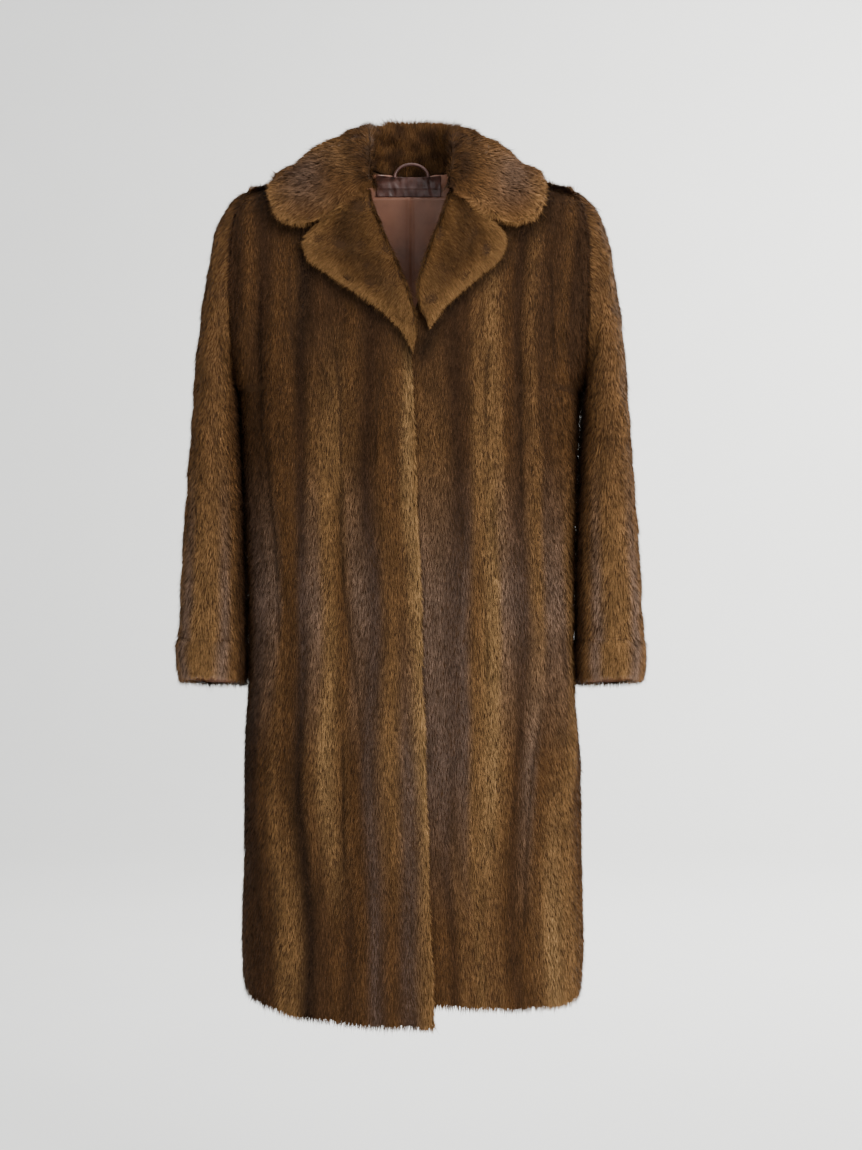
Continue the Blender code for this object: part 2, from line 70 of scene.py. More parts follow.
HALF_WIDTH = (  # z, right, left
    (0.030, 0.2045, 0.2045), (ARM_TOP, 0.2045, 0.2045), (-0.070, 0.2140, 0.2120),
    (-0.120, 0.2200, 0.2170), (-0.200, 0.2205, 0.2165), (ARM_BOTTOM, 0.2165, 0.2140),
    (-0.330, 0.2138, 0.2118), (-0.410, 0.2098, 0.2082), (-0.475, 0.2074, 0.2062),
    (-0.540, 0.2050, 0.2046), (-0.600, 0.2042, 0.2042), (-0.670, 0.2046, 0.2050),
    (-0.745, 0.2088, 0.2118), (-0.890, 0.2095, 0.2140), (-0.970, 0.2115, 0.2155),
    (-1.080, 0.2100, 0.2140),
)
DEPTH = (  # z, front, back
    (0.030, 0.046, 0.052), (-0.013, 0.052, 0.057), (-0.050, 0.060, 0.064), (-0.100, 0.072, 0.070),
    (-0.200, 0.088, 0.076), (-0.300, 0.092, 0.076), (-0.500, 0.088, 0.072), (-0.700, 0.089, 0.073),
    (-0.900, 0.093, 0.077), (-1.080, 0.097, 0.080),
)
RIGHT_EDGE = (  # z, x
    (0.030, -0.0560), (0.000, -0.0550), (-0.0546, -0.0477), (-0.110, -0.0300), (-0.184, 0.0000),
    (-0.235, 0.0085), (-0.300, 0.0108), (-0.553, 0.0178), (-0.850, 0.0255), (-1.080, 0.0325),
)
LEFT_EDGE = (  # z, x
    (0.030, 0.0560), (0.000, 0.0550), (-0.0546, 0.0440), (-0.110, 0.0270), (-0.184, 0.0010),
    (-0.235, -0.0180), (-0.300, -0.0270), (-1.080, -0.0270),
)
HEM = (  # share, right front, left front, back
    (-0.20, -1.0700, -1.0450, -1.0300), (0.00, -1.0690, -1.0450, -1.0300),
    (0.30, -1.0640, -1.0500, -1.0300), (0.70, -1.0500, -1.0520, -1.0290),
    (0.93, -1.0390, -1.0420, -1.0270), (1.00, -1.0230, -1.0260, -1.0230),
)
FRONT_FOLDS = (  # x at top, z at top, x at foot, z at foot, height, half width
    (-0.188, -0.140, -0.186, -0.440, -0.0040, 0.011), (-0.086, -0.280, -0.052, -0.760, -0.0035, 0.014),
    (-0.130, -0.480, -0.118, -1.200, 0.0040, 0.024), (-0.060, -0.620, -0.050, -1.200, 0.0035, 0.020),
    (0.150, -0.120, 0.146, -0.520, 0.0035, 0.014), (0.052, -0.300, 0.058, -1.200, 0.0030, 0.022),
    (0.128, -0.480, 0.140, -1.200, 0.0040, 0.022),
)
BACK_FOLDS = (
    (-0.130, -0.300, -0.138, -1.200, 0.0050, 0.026), (-0.050, -0.340, -0.058, -1.200, 0.0040, 0.024),
    (0.040, -0.320, 0.044, -1.200, 0.0045, 0.026), (0.128, -0.300, 0.132, -1.200, 0.0050, 0.024),
)
SLEEVE = (  # inner x, inner z, outer x, outer z, half depth, bow
    (0.2177, -0.2950, 0.2200, -0.0520, 0.0630, 0.0065), (0.2175, -0.3000, 0.2350, -0.0720, 0.0645, 0.0050),
    (0.2170, -0.3060, 0.2450, -0.0990, 0.0665, 0.0030), (0.2160, -0.3130, 0.2510, -0.1340, 0.0685, 0.0010),
    (0.2154, -0.3220, 0.2590, -0.1800, 0.0705, 0.0), (0.2145, -0.3360, 0.2665, -0.2400, 0.0730, 0.0),
    (0.2122, -0.3680, 0.2735, -0.3150, 0.0745, 0.0), (0.2098, -0.4180, 0.2795, -0.3900, 0.0735, 0.0),
    (0.2078, -0.4800, 0.2850, -0.4650, 0.0715, 0.0), (0.2062, -0.5450, 0.2895, -0.5350, 0.0690, 0.0),
    (0.2058, -0.6020, 0.2925, -0.5980, 0.0665, 0.0),
)
CUFF = (
    (0.2057, -0.6028, 0.2930, -0.5988, 0.0675, 0.0), (0.2054, -0.6180, 0.2955, -0.6140, 0.0690, 0.0),
    (0.2057, -0.6380, 0.2950, -0.6340, 0.0685, 0.0), (0.2068, -0.6560, 0.2925, -0.6540, 0.0670, 0.0),
)
CUFF_TILT = 0.14
SLEEVE_ROUND = 2.2
COLLAR = (  # neck seam z or x, roll x, roll y from the seam plane, roll z, edge x, edge drop
    (-0.0520, 0.0495, -0.0750, -0.0500, 0.0885, 0.0748),
    (-0.0400, 0.0510, -0.0670, -0.0360, 0.1280, 0.0848),
    (-0.0280, 0.0525, -0.0570, -0.0210, 0.1530, 0.0723),
    (-0.0170, 0.0540, -0.0440, -0.0050, 0.1660, 0.0513),
    (-0.0080, 0.0555, -0.0290, 0.0100, 0.1705, 0.0300), (-0.0030, 0.0568, -0.0140, 0.0215, 0.1705, 0.0110),
    (-0.0008, 0.0577, -0.0035, 0.0285, 0.1690, 0.0028), (0.0550, 0.0585, 0.0070, 0.0350, 0.1660, 0.0000),
    (0.0525, 0.0582, 0.0165, 0.0400, 0.1560, -0.0060), (0.0475, 0.0560, 0.0320, 0.0470, 0.1400, -0.0210),
    (0.0380, 0.0485, 0.0465, 0.0515, 0.1150, -0.0400), (0.0260, 0.0350, 0.0560, 0.0545, 0.0800, -0.0580),
    (0.0130, 0.0190, 0.0605, 0.0565, 0.0420, -0.0700), (0.0000, 0.0000, 0.0620, 0.0572, 0.0000, -0.0780),
)
FRONT_COLLAR_ROWS, STAND_STEPS, FALL_STEPS = 7, 4, 7
COLLAR_REACH = {RIGHT: 1.0, LEFT: 0.957}
RIGHT_LAPEL = (  # roll x, roll z, edge x, edge z
    (-0.0488, -0.0635, -0.0870, -0.0818), (-0.0440, -0.0800, -0.1130, -0.0980),
    (-0.0372, -0.0970, -0.1265, -0.1190), (-0.0300, -0.1150, -0.1215, -0.1370),
    (-0.0205, -0.1370, -0.0950, -0.1570), (-0.0110, -0.1600, -0.0600, -0.1820),
    (-0.0020, -0.1850, -0.0250, -0.2080), (0.0045, -0.2100, -0.0050, -0.2320),
    (0.0080, -0.2350, 0.0040, -0.2550),
)
LEFT_LAPEL = (
    (0.0455, -0.0650, 0.0840, -0.0815), (0.0400, -0.0820, 0.1020, -0.0960),
    (0.0340, -0.0980, 0.1125, -0.1150), (0.0270, -0.1150, 0.1050, -0.1370),
    (0.0200, -0.1350, 0.0830, -0.1570), (0.0130, -0.1570, 0.0560, -0.1800),
    (0.0100, -0.1800, 0.0340, -0.2020), (0.0120, -0.2020, 0.0230, -0.2260),
    (0.0130, -0.2250, 0.0175, -0.2450),
)
LAPEL_FULL, LAPEL_THIN = 0.0135, 0.0090
BAND_X, BAND_Z = (-0.0450, 0.0375), (-0.0130, -0.0370)
LINING_Z, LINING_HALF = (-0.0376, -0.2600), (0.050, 0.100)
LOOP_HALF, LOOP_RADIUS, LOOP_FOOT_Z = 0.0215, 0.0021, -0.0150

HAIR_ROOM = 0.0036      # the skin lies this far inside the pile's reach
SEAM_ROOM = 0.0010      # and this far where it is sewn to its neighbour
SKIN = 0.003            # thickness of the pelt itself
DEEPEST = -0.0021       # no crease presses the skin in further than this
PROUDEST = 0.0022       # and no ridge lifts it further out
HEM_INSET = 0.0055      # share of a panel's length that the turned hem keeps back
HAIR_WIDTH = 0.0009
GUARD_SHARE, LOOSE_SHARE, LIGHT_SHARE = 0.09, 0.12, 0.12    # guard, twisted and light hairs
LIE = 21.0              # degrees that a hair stands up from the skin
SETTLE = 0.0006         # how deep the roots sit
MAP_SIZE = 1024         # steps along the side of the square that the hairs' flat map fills

# ---------------------------------------------------------------- tones

# Red, green and blue of the hair, and how far the pelt stands up there.
TONES = {
    "night": (0.012, 0.006, 0.003, -0.0021),
    "dark": (0.031, 0.014, 0.006, -0.0016),
    "umber": (0.050, 0.023, 0.009, -0.0009),
    "brown": (0.082, 0.038, 0.013, -0.0002),
    "chestnut": (0.118, 0.059, 0.022, 0.0003),
    "gold": (0.170, 0.090, 0.034, 0.0008),
    "pale": (0.235, 0.135, 0.055, 0.0012),
    "slate": (0.054, 0.033, 0.024, -0.0008),
    "lilac": (0.088, 0.056, 0.041, -0.0002),
    "rosy": (0.145, 0.090, 0.060, 0.0005),
}
STRIPE_LEVELS = (0.20, 0.37, 0.55, 0.75, 0.95)      # below the origin
# Each line runs down a pelt: where it is, and its tone, at those five levels.
RIGHT_PELTS = (
    ((-.214, -.212, -.203, -.203, -.206), ("dark", "umber", "umber", "night", "umber")),
    ((-.198, -.200, -.190, -.192, -.192), ("brown", "umber", "lilac", "dark", "dark")),
    ((-.181, -.188, -.172, -.180, -.178), ("dark", "umber", "rosy", "brown", "umber")),
    ((-.160, -.162, -.160, -.166, -.152), ("brown", "brown", "brown", "chestnut", "gold")),
    ((-.150, -.150, -.151, -.152, -.142), ("brown", "brown", "brown", "brown", "gold")),
    ((-.133, -.133, -.138, -.133, -.121), ("night", "dark", "slate", "night", "night")),
    ((-.110, -.116, -.118, -.118, -.107), ("umber", "chestnut", "rosy", "chestnut", "umber")),
    ((-.095, -.098, -.098, -.100, -.090), ("umber", "gold", "gold", "pale", "brown")),
    ((-.088, -.085, -.082, -.078, -.075), ("umber", "gold", "brown", "chestnut", "umber")),
    ((-.070, -.072, -.062, -.063, -.058), ("brown", "chestnut", "rosy", "brown", "brown")),
    ((-.046, -.050, -.044, -.046, -.040), ("dark", "dark", "slate", "slate", "slate")),
    ((-.030, -.026, -.026, -.018, -.018), ("umber", "brown", "chestnut", "gold", "brown")),
    ((-.012, -.010, -.010, -.001, .002), ("chestnut", "brown", "chestnut", "lilac", "slate")),
    ((.002, .006, .008, .014, .024), ("pale", "pale", "pale", "pale", "gold")),
    ((.012, .016, .020, .028, .038), ("gold", "gold", "pale", "gold", "chestnut")),
)
LEFT_PELTS = (
    ((-.027, -.027, -.027, -.027, -.027), ("brown", "brown", "brown", "brown", "brown")),
    ((.010, .020, .020, .030, .038), ("umber", "chestnut", "rosy", "lilac", "brown")),
    ((.031, .033, .034, .040, .050), ("umber", "chestnut", "rosy", "lilac", "umber")),
    ((.052, .060, .058, .050, .063), ("dark", "dark", "slate", "slate", "chestnut")),
    ((.065, .070, .064, .062, .072), ("umber", "umber", "lilac", "lilac", "chestnut")),
    ((.082, .084, .078, .075, .082), ("chestnut", "gold", "chestnut", "gold", "gold")),
    ((.100, .098, .098, .099, .094), ("gold", "gold", "pale", "pale", "chestnut")),
    ((.110, .108, .109, .108, .108), ("chestnut", "gold", "rosy", "gold", "chestnut")),
    ((.118, .119, .119, .118, .118), ("brown", "brown", "lilac", "chestnut", "brown")),
    ((.133, .131, .131, .127, .127), ("dark", "umber", "slate", "umber", "umber")),
    ((.151, .154, .152, .146, .143), ("chestnut", "chestnut", "gold", "rosy", "brown")),
    ((.166, .167, .166, .160, .158), ("umber", "umber", "rosy", "brown", "chestnut")),
    ((.180, .182, .180, .183, .175), ("umber", "brown", "rosy", "chestnut", "pale")),
    ((.194, .195, .193, .197, .190), ("brown", "brown", "gold", "gold", "gold")),
    ((.205, .206, .205, .208, .208), ("dark", "umber", "brown", "umber", "brown")),
)
# Fine creases where pelts are joined or fold, pressed into the skin and darkened: the dark is partly the
# joins' own dark line and partly painted shade in the folds. Points down each, x and z.
RIGHT_CREASES = (
    ((-.094, -.230), (-.084, -.300), (-.084, -.470), (-.080, -.535), (-.070, -.607), (-.062, -.664),
     (-.056, -.760)),
    ((-.116, -.256), (-.103, -.280), (-.086, -.322)),
    ((-.183, -.150), (-.183, -.329), (-.172, -.410), (-.166, -.470), (-.163, -.530), (-.158, -.620)),
    ((-.148, -.120), (-.146, -.190), (-.141, -.270)),
    ((-.081, -.700), (-.080, -.900)),
    ((-.034, -.262), (-.040, -.330), (-.044, -.420)),
)
LEFT_CREASES = (
    ((.134, -.235), (.134, -.329), (.135, -.470)),
    ((.102, -.410), (.0996, -.454), (.104, -.502), (.112, -.545)),
    ((.160, -.680), (.148, -.752), (.142, -.813), (.136, -.980)),
    ((.062, -.420), (.063, -.500), (.056, -.600)),
    ((.096, -.235), (.090, -.300), (.093, -.380)),
    ((.170, -.120), (.172, -.200), (.178, -.290)),
    ((.090, -.560), (.095, -.700)),
)
BACK_LINES = (  # x, tone above and below
    (-.206, "dark", "umber"), (-.190, "brown", "chestnut"), (-.172, "umber", "lilac"),
    (-.156, "chestnut", "gold"), (-.140, "chestnut", "rosy"), (-.124, "dark", "slate"),
    (-.108, "brown", "brown"), (-.090, "gold", "pale"), (-.074, "brown", "chestnut"),
    (-.058, "dark", "slate"), (-.042, "brown", "lilac"), (-.024, "chestnut", "gold"),
    (-.008, "brown", "chestnut"), (.006, "dark", "dark"), (.022, "chestnut", "chestnut"),
    (.040, "gold", "pale"), (.056, "brown", "lilac"), (.072, "dark", "slate"),
    (.088, "umber", "brown"), (.106, "gold", "gold"), (.122, "brown", "rosy"),
    (.138, "dark", "slate"), (.156, "chestnut", "gold"), (.174, "brown", "lilac"),
    (.190, "brown", "chestnut"), (.206, "dark", "umber"),
)
BACK_PELTS = tuple(
    ((x * .97, x * .98, x * .985, x, x * 1.02), (above, above, below, below, below))
    for x, above, below in BACK_LINES
)
# The dark tones round the inner side, from 154 to 212 degrees, towards the body, are painted shade between
# sleeve and body; the umber at the outer side is partly painted shade where the sleeve turns away from the
# light.
SLEEVE_LINES = (  # degrees round the sleeve, by way of its front, from the outer side; tone above, below
    (0, "umber", "brown"), (30, "brown", "chestnut"), (52, "chestnut", "rosy"), (74, "chestnut", "gold"),
    (98, "chestnut", "gold"), (118, "chestnut", "rosy"), (136, "brown", "chestnut"), (154, "dark", "umber"),
    (180, "night", "night"), (212, "dark", "dark"), (232, "brown", "brown"), (250, "chestnut", "gold"),
    (270, "brown", "rosy"), (288, "umber", "slate"), (306, "chestnut", "chestnut"),
    (330, "brown", "gold"), (346, "umber", "brown"), (360, "umber", "brown"),
)
SLEEVE_PELTS = tuple(
    ((turn,) * 5, (above, above, below, below, below)) for turn, above, below in SLEEVE_LINES
)


# ---------------------------------------------------------------- reading tables

def ease(low, high, value):
    """A soft step from 0 to 1 between two values."""
    t = np.clip((value - low) / (high - low), 0.0, 1.0)
    return t * t * (3 - 2 * t)


def through(keys, rows, at):
    """Rows of values at these keys, read at other places on curves that never overshoot."""
    keys, rows, at = (np.asarray(a, dtype=float) for a in (keys, rows, at))
    width = np.diff(keys).reshape((-1,) + (1,) * (rows.ndim - 1))
    steps = np.diff(rows, axis=0) / width
    slopes = np.zeros_like(rows)
    before, after = steps[:-1], steps[1:]
    same = before * after > 0
    slopes[1:-1][same] = 2 * before[same] * after[same] / (before[same] + after[same])
    i = np.clip(np.searchsorted(keys, at) - 1, 0, len(keys) - 2)
    shape = at.shape + (1,) * (rows.ndim - 1)
    w = (keys[i + 1] - keys[i]).reshape(shape)
    t = np.clip((at - keys[i]) / (keys[i + 1] - keys[i]), 0.0, 1.0).reshape(shape)
    return (rows[i] * (1 + 2 * t) * (1 - t) ** 2 + rows[i + 1] * t * t * (3 - 2 * t)
            + w * (slopes[i] * t * (1 - t) ** 2 - slopes[i + 1] * t * t * (1 - t)))


def smooth(table, column, key):
    rows = sorted(table)
    return through([row[0] for row in rows], [row[column] for row in rows], key)


def unit(vectors):
    return vectors / np.maximum(np.linalg.norm(vectors, axis=-1, keepdims=True), 1e-12)


# ---------------------------------------------------------------- the body's form

def shoulder_z(x):
    return SHOULDER_TOP - SHOULDER_SLOPE * np.abs(x)


def half_width(right, z):
    return np.where(right, smooth(HALF_WIDTH, 1, z), smooth(HALF_WIDTH, 2, z))


def arm_half(z):
    middle = (ARM_TOP + ARM_BOTTOM) / 2
    share = (z - middle) / (ARM_TOP - middle)
    return ARM_HALF_DEPTH * np.sqrt(np.maximum(0.0, 1 - share * share))


def fold_height(folds, x, z):
    """How far the long soft folds stand out at each place."""
    height = np.zeros_like(x)
    for x_top, z_top, x_foot, z_foot, size, half in folds:
        along = (z_top - z) / (z_top - z_foot)
        middle = x_top + (x_foot - x_top) * along
        strength = np.sin(math.pi * np.clip(along, 0, 1)) ** 0.7
        height += size * strength * np.exp(-(((x - middle) / half) ** 2))
    return height


def depth_at(x, z, out, column, roll_over):
    """How far the body stands out from the plane of the side seams."""
    reach = half_width(x < 0, z) + out
    arm = arm_half(z)
    share = np.clip((shoulder_z(x) + out - z) / (roll_over + out), 0, 1)
    upright = np.sqrt(1 - (1 - share) ** 2)
    across = np.maximum(0.0, 1 - np.minimum(np.abs(x) / reach, 1.0) ** ROUND) ** (1 / ROUND)
    return arm + np.maximum(smooth(DEPTH, column, z) + out - arm, 0.001) * upright * across


def front_point(x, z, out=0.0, lapped=False):
    x, z = np.broadcast_arrays(np.asarray(x, float), np.asarray(z, float))
    y = SEAM_Y - SEAM - depth_at(x, z, out, 1, FRONT_ROLL_OVER) - fold_height(FRONT_FOLDS, x, z)
    if lapped:
        y = y - LAP * ease(-0.105, -0.034, x) * ease(-0.030, -0.080, z)
    return np.stack((x, y, z), -1)


def back_point(x, z, out=0.0):
    x, z = np.broadcast_arrays(np.asarray(x, float), np.asarray(z, float))
    y = SEAM_Y + SEAM + depth_at(x, z, out, 2, BACK_ROLL_OVER) + fold_height(BACK_FOLDS, x, z)
    return np.stack((x, y, z), -1)


def front_at(side, s, v, out):
    """The skin of a front: s from the closing edge to the side seam, v from shoulder to hem."""
    table, column = (RIGHT_EDGE, 1) if side == RIGHT else (LEFT_EDGE, 2)
    top = shoulder_z(NECK_X + (SHOULDER_X - NECK_X) * s)
    z = top + (smooth(HEM, column, s) - top) * v
    edge, reach = smooth(table, 1, z), half_width(side == RIGHT, z)
    first = np.sign(edge * side) * np.arcsin((np.abs(edge) / reach) ** (ROUND / 2))
    turn = first + (math.pi / 2 - first) * s
    x = side * np.sign(turn) * np.abs(np.sin(turn)) ** (2 / ROUND) * reach
    start = ease(0.0, 0.004, v)
    x = side * (NECK_X + (SHOULDER_X - NECK_X) * s) * (1 - start) + x * start
    z_low = z + out * (1 - ease(0.0, 0.05, shoulder_z(x) - z))
    x_low = np.where(s > 0.5, x * (reach + out) / reach, x + (x * out / reach) * ease(0.0, 0.5, s))
    return front_point(x_low, z_low, out, lapped=side == RIGHT)


def back_at(s, v, out):
    """The skin of the back: s from the right side seam to the left one."""
    share = np.abs(s)
    x_top = SHOULDER_X * share
    dip = BACK_NECK_DROP * np.sqrt(np.maximum(0.0, 1 - (x_top / NECK_X) ** 2))
    top = np.where(x_top < NECK_X, shoulder_z(NECK_X) - dip, shoulder_z(x_top))
    z = top + (smooth(HEM, 3, share) - top) * v
    reach = half_width(s < 0, z)
    blend = ease(0.0, 0.10, v)
    even = np.sin(math.pi / 2 * share) ** (2 / ROUND) * reach
    x = np.sign(s) * (x_top * reach / SHOULDER_X * (1 - blend) + even * blend)
    z_low = z + out * (1 - ease(0.0, 0.04, shoulder_z(x) - z)) * ease(0.5, 1.0, np.abs(x) / NECK_X)
    return back_point(x * (reach + out) / reach, z_low, out)


def sleeve_loop(side, row, inset, turns, tilt=0.0):
    """One ring of a sleeve, from its outer side by way of its front."""
    inner_x, inner_z, outer_x, outer_z, half_depth, bow = row
    length = math.hypot(outer_x - inner_x, outer_z - inner_z)
    along = ((outer_x - inner_x) / length, (outer_z - inner_z) / length)
    c, s = np.cos(turns), np.sin(turns)
    c = np.sign(c) * np.abs(c) ** (2 / SLEEVE_ROUND) * (length / 2 - inset)
    y = SEAM_Y - np.sign(s) * np.abs(s) ** (2 / SLEEVE_ROUND) * (half_depth - inset)
    x = (inner_x + outer_x) / 2 + along[0] * c + bow * (1 - (2 * c / length) ** 2)
    z = (inner_z + outer_z) / 2 + along[1] * c - tilt * (y - SEAM_Y)
    return np.stack((side * x, y, z), -1)


def sleeve_rows(side, inset, turns):
    middle, half = (ARM_TOP + ARM_BOTTOM) / 2, (ARM_TOP - ARM_BOTTOM) / 2 - inset
    z = middle + half * np.cos(turns)
    y = SEAM_Y - (ARM_HALF_DEPTH - inset) * np.sin(turns)
    hole = np.stack((side * (half_width(side == RIGHT, z) + ARM_SEAM), y, z), -1)
    return np.array([hole] + [sleeve_loop(side, row, inset, turns) for row in SLEEVE])


def cuff_rows(side, inset, turns):
    tilts = CUFF_TILT * ease(0, len(CUFF) - 1, np.arange(len(CUFF)))
    return np.array([sleeve_loop(side, row, inset, turns, t) for row, t in zip(CUFF, tilts)])


def clear_of_body(point, need):
    """The nearest place that keeps a distance from the body."""
    x, y, z = point
    rise = shoulder_z(x) + need - z
    if rise > 0:
        if y < SEAM_Y:
            clear = min(y, front_point(x, z, need)[1], front_point(x, z)[1] - need)
        else:
            clear = max(y, back_point(x, z, need)[1], back_point(x, z)[1] + need)
        if rise < abs(clear - y):
            z += rise
        else:
            y = clear
    return np.array((x, y, z))


def bezier(a, b, c, d, t):
    return a * (1 - t) ** 3 + b * 3 * t * (1 - t) ** 2 + c * 3 * t * t * (1 - t) + d * t ** 3


def collar_row(side, index):
    """The middle of the collar's wall: up the stand, over the roll and down to the free edge."""
    seam, roll_x, roll_y, roll_z, edge_x, drop = COLLAR[index]
    half = COLLAR_WALL / 2
    x_edge = side * edge_x * (COLLAR_REACH[side] if edge_x else 1.0)
    need = half + ROLLED
    z_edge = shoulder_z(x_edge) + need - abs(drop)
    edge = (front_point if drop > 0 else back_point)(x_edge, z_edge, need)
    roll = np.array((side * roll_x, SEAM_Y + roll_y, roll_z))
    if index < FRONT_COLLAR_ROWS:
        foot_x = abs(smooth(RIGHT_EDGE if side == RIGHT else LEFT_EDGE, 1, seam))
        foot = front_point(side * foot_x, seam, need)
    else:
        dip = BACK_NECK_DROP * math.sqrt(max(0.0, 1 - (seam / NECK_X) ** 2))
        foot = back_point(side * seam, shoulder_z(NECK_X) - dip)
        foot = foot + np.array((0.0, -half * ease(0, NECK_X, NECK_X - seam), 2 * SEAM))
    up = roll - foot
    up /= np.linalg.norm(up)
    out = edge - roll
    out -= up * np.dot(out, up)
    out /= np.linalg.norm(out)
    rise, fall = np.linalg.norm(roll - foot), np.linalg.norm(edge - roll)
    bend = min(0.45 * rise, 0.012)
    row = [bezier(foot, foot + up * rise * 0.4, roll - out * bend - up * bend * 0.2, roll, t)
           for t in np.linspace(0, 1, STAND_STEPS + 1)[:-1]]
    over = roll + out * min(0.28 * fall, 0.030)
    down = edge + (roll - edge) * 0.33 + up * 0.004
    for t in np.linspace(0, 1, FALL_STEPS + 1):
        row.append(clear_of_body(bezier(roll, over, down, edge, t), need))
    return row


def normals_of(points):
    down, across = np.gradient(points, axis=0), np.gradient(points, axis=1)
    return unit(np.cross(down, across))


def collar_skins():
    """The outer and inner skins of the collar, from the right end round to the left one."""
    last = len(COLLAR) - 1
    grid = [collar_row(RIGHT, i) for i in range(last + 1)]
    grid += [collar_row(LEFT, i) for i in range(last - 1, -1, -1)]
    middle = np.array(grid, dtype=float)
    normals = normals_of(middle)
    outer, inner = middle + normals * COLLAR_WALL / 2, middle - normals * COLLAR_WALL / 2
    for outer_row, inner_row in zip(outer, inner):
        for j in range(STAND_STEPS + 1, STAND_STEPS + FALL_STEPS + 1):
            need = ROLLED + SHOULDER_LIFT * ease(0.09, 0.14, abs(inner_row[j][0]))
            push = clear_of_body(inner_row[j], need) - inner_row[j]
            outer_row[j] += push
            inner_row[j] += push
    return outer, inner


def lapel_skins(rows, lapped, steps):
    """The outer and inner skins of a lapel, row by row from its top."""
    lie = BOWED if lapped else LAY
    outer, inner = [], []
    for index, (roll_x, roll_z, edge_x, edge_z) in enumerate(rows):
        slim = 1 - 0.35 * ease(6, len(rows) - 1, index)
        t = np.linspace(0, 1, steps)
        full = (LAPEL_FULL + (LAPEL_THIN - LAPEL_FULL) * t) * slim
        rounded = full * (0.80 + 0.20 * np.maximum(np.sin(math.pi * t), 0.0) ** 0.5)
        under = front_point(roll_x + (edge_x - roll_x) * t, roll_z + (edge_z - roll_z) * t, lie, lapped)
        inner.append(under)
        outer.append(under - np.stack((0 * t, rounded, 0 * t), -1))
    return np.array(outer), np.array(inner)


# ---------------------------------------------------------------- making pieces

def resampled(grid, rows, columns):
    """A grid of points read on smooth curves at even steps along its rows and columns."""
    def steps(points, axis):
        lengths = np.linalg.norm(np.diff(points, axis=axis), axis=2).mean(axis=1 - axis)
        return np.concatenate(([0.0], np.cumsum(lengths)))
    down = steps(grid, 0)
    grid = through(down, grid, np.linspace(0, down[-1], rows))
    across = steps(grid, 1)
    return through(across, grid.swapaxes(0, 1), np.linspace(0, across[-1], columns)).swapaxes(0, 1)


def new_object(name, points, faces, smooth_faces=True):
    """A mesh from arrays; faces is an array of rows of three or four indices."""
    points, faces = np.asarray(points, np.float32), np.asarray(faces, np.int32)
    mesh = bpy.data.meshes.new(name)
    mesh.vertices.add(len(points))
    mesh.vertices.foreach_set("co", points.ravel())
    mesh.loops.add(faces.size)
    mesh.loops.foreach_set("vertex_index", faces.ravel())
    mesh.polygons.add(len(faces))
    mesh.polygons.foreach_set("loop_start", np.arange(len(faces), dtype=np.int32) * faces.shape[1])
    mesh.update(calc_edges=True)
    if smooth_faces:
        mesh.shade_smooth()
    piece = bpy.data.objects.new(name, mesh)
    bpy.context.scene.collection.objects.link(piece)
    return piece


def wall(name, outer, inner, closed=False):
    """A closed wall between two grids of points."""
    rows, columns = outer.shape[:2]
    index = np.arange(rows * columns).reshape(rows, columns)
    if closed:
        index = np.concatenate((index, index[:, :1]), axis=1)
    under = index + rows * columns

    def quads(a, b, c, d):
        return np.stack((a.ravel(), b.ravel(), c.ravel(), d.ravel()), -1)

    faces = [
        quads(index[:-1, :-1], index[:-1, 1:], index[1:, 1:], index[1:, :-1]),
        quads(under[1:, :-1], under[1:, 1:], under[:-1, 1:], under[:-1, :-1]),
        quads(index[0, :-1], under[0, :-1], under[0, 1:], index[0, 1:]),
        quads(index[-1, 1:], under[-1, 1:], under[-1, :-1], index[-1, :-1]),
    ]
    if not closed:
        faces.append(quads(index[1:, 0], under[1:, 0], under[:-1, 0], index[:-1, 0]))
        faces.append(quads(index[:-1, -1], under[:-1, -1], under[1:, -1], index[1:, -1]))
    skin = len(faces[0])
    piece = new_object(name, np.concatenate((outer.reshape(-1, 3), inner.reshape(-1, 3))),
                       np.concatenate(faces))
    inside = np.zeros(len(piece.data.polygons), np.int32)
    inside[skin:2 * skin] = 1
    piece.data.polygons.foreach_set("material_index", inside)
    return piece


def face_out(piece, grid_normals_out):
    """Turn all faces round if the first grid isn't the outer side."""
    if not grid_normals_out:
        piece.data.flip_normals()
    return piece


def tone_at(pelts, across, level):
    """Colour and relief by the table of pelts."""
    places, values = [], []
    for xs, names in pelts:
        tones = np.array([TONES[name] for name in names])
        places.append(np.interp(level, STRIPE_LEVELS, xs))
        values.append(np.stack([np.interp(level, STRIPE_LEVELS, tones[:, c]) for c in range(4)], -1))
    result = values[0]
    for k in range(len(pelts) - 1):
        t = ease(places[k], places[k + 1], across)[..., None]
        result = result * (1 - t) + values[k + 1] * t
    return result


def crease_bands(creases, x, z, half=0.0023):
    """How much of a crease there is at each place, from 0 to 1."""
    band = np.zeros_like(x)
    for points in creases:
        xs, levels = np.array(points).T * np.array(((1.0,), (-1.0,)))
        window = ease(levels[0], levels[0] + 0.02, -z) * (1 - ease(levels[-1] - 0.05, levels[-1], -z))
        band = np.maximum(band, window * np.exp(-((x - np.interp(-z, levels, xs)) / half) ** 2))
    return band


def near_line(points, x, z):
    """Distance in the frontal plane from a line through points."""
    nearest = np.full(x.shape, 9.0)
    for (x0, z0), (x1, z1) in zip(points, points[1:]):
        dx, dz = x1 - x0, z1 - z0
        t = np.clip(((x - x0) * dx + (z - z0) * dz) / (dx * dx + dz * dz), 0, 1)
        nearest = np.minimum(nearest, np.hypot(x - x0 - t * dx, z - z0 - t * dz))
    return nearest


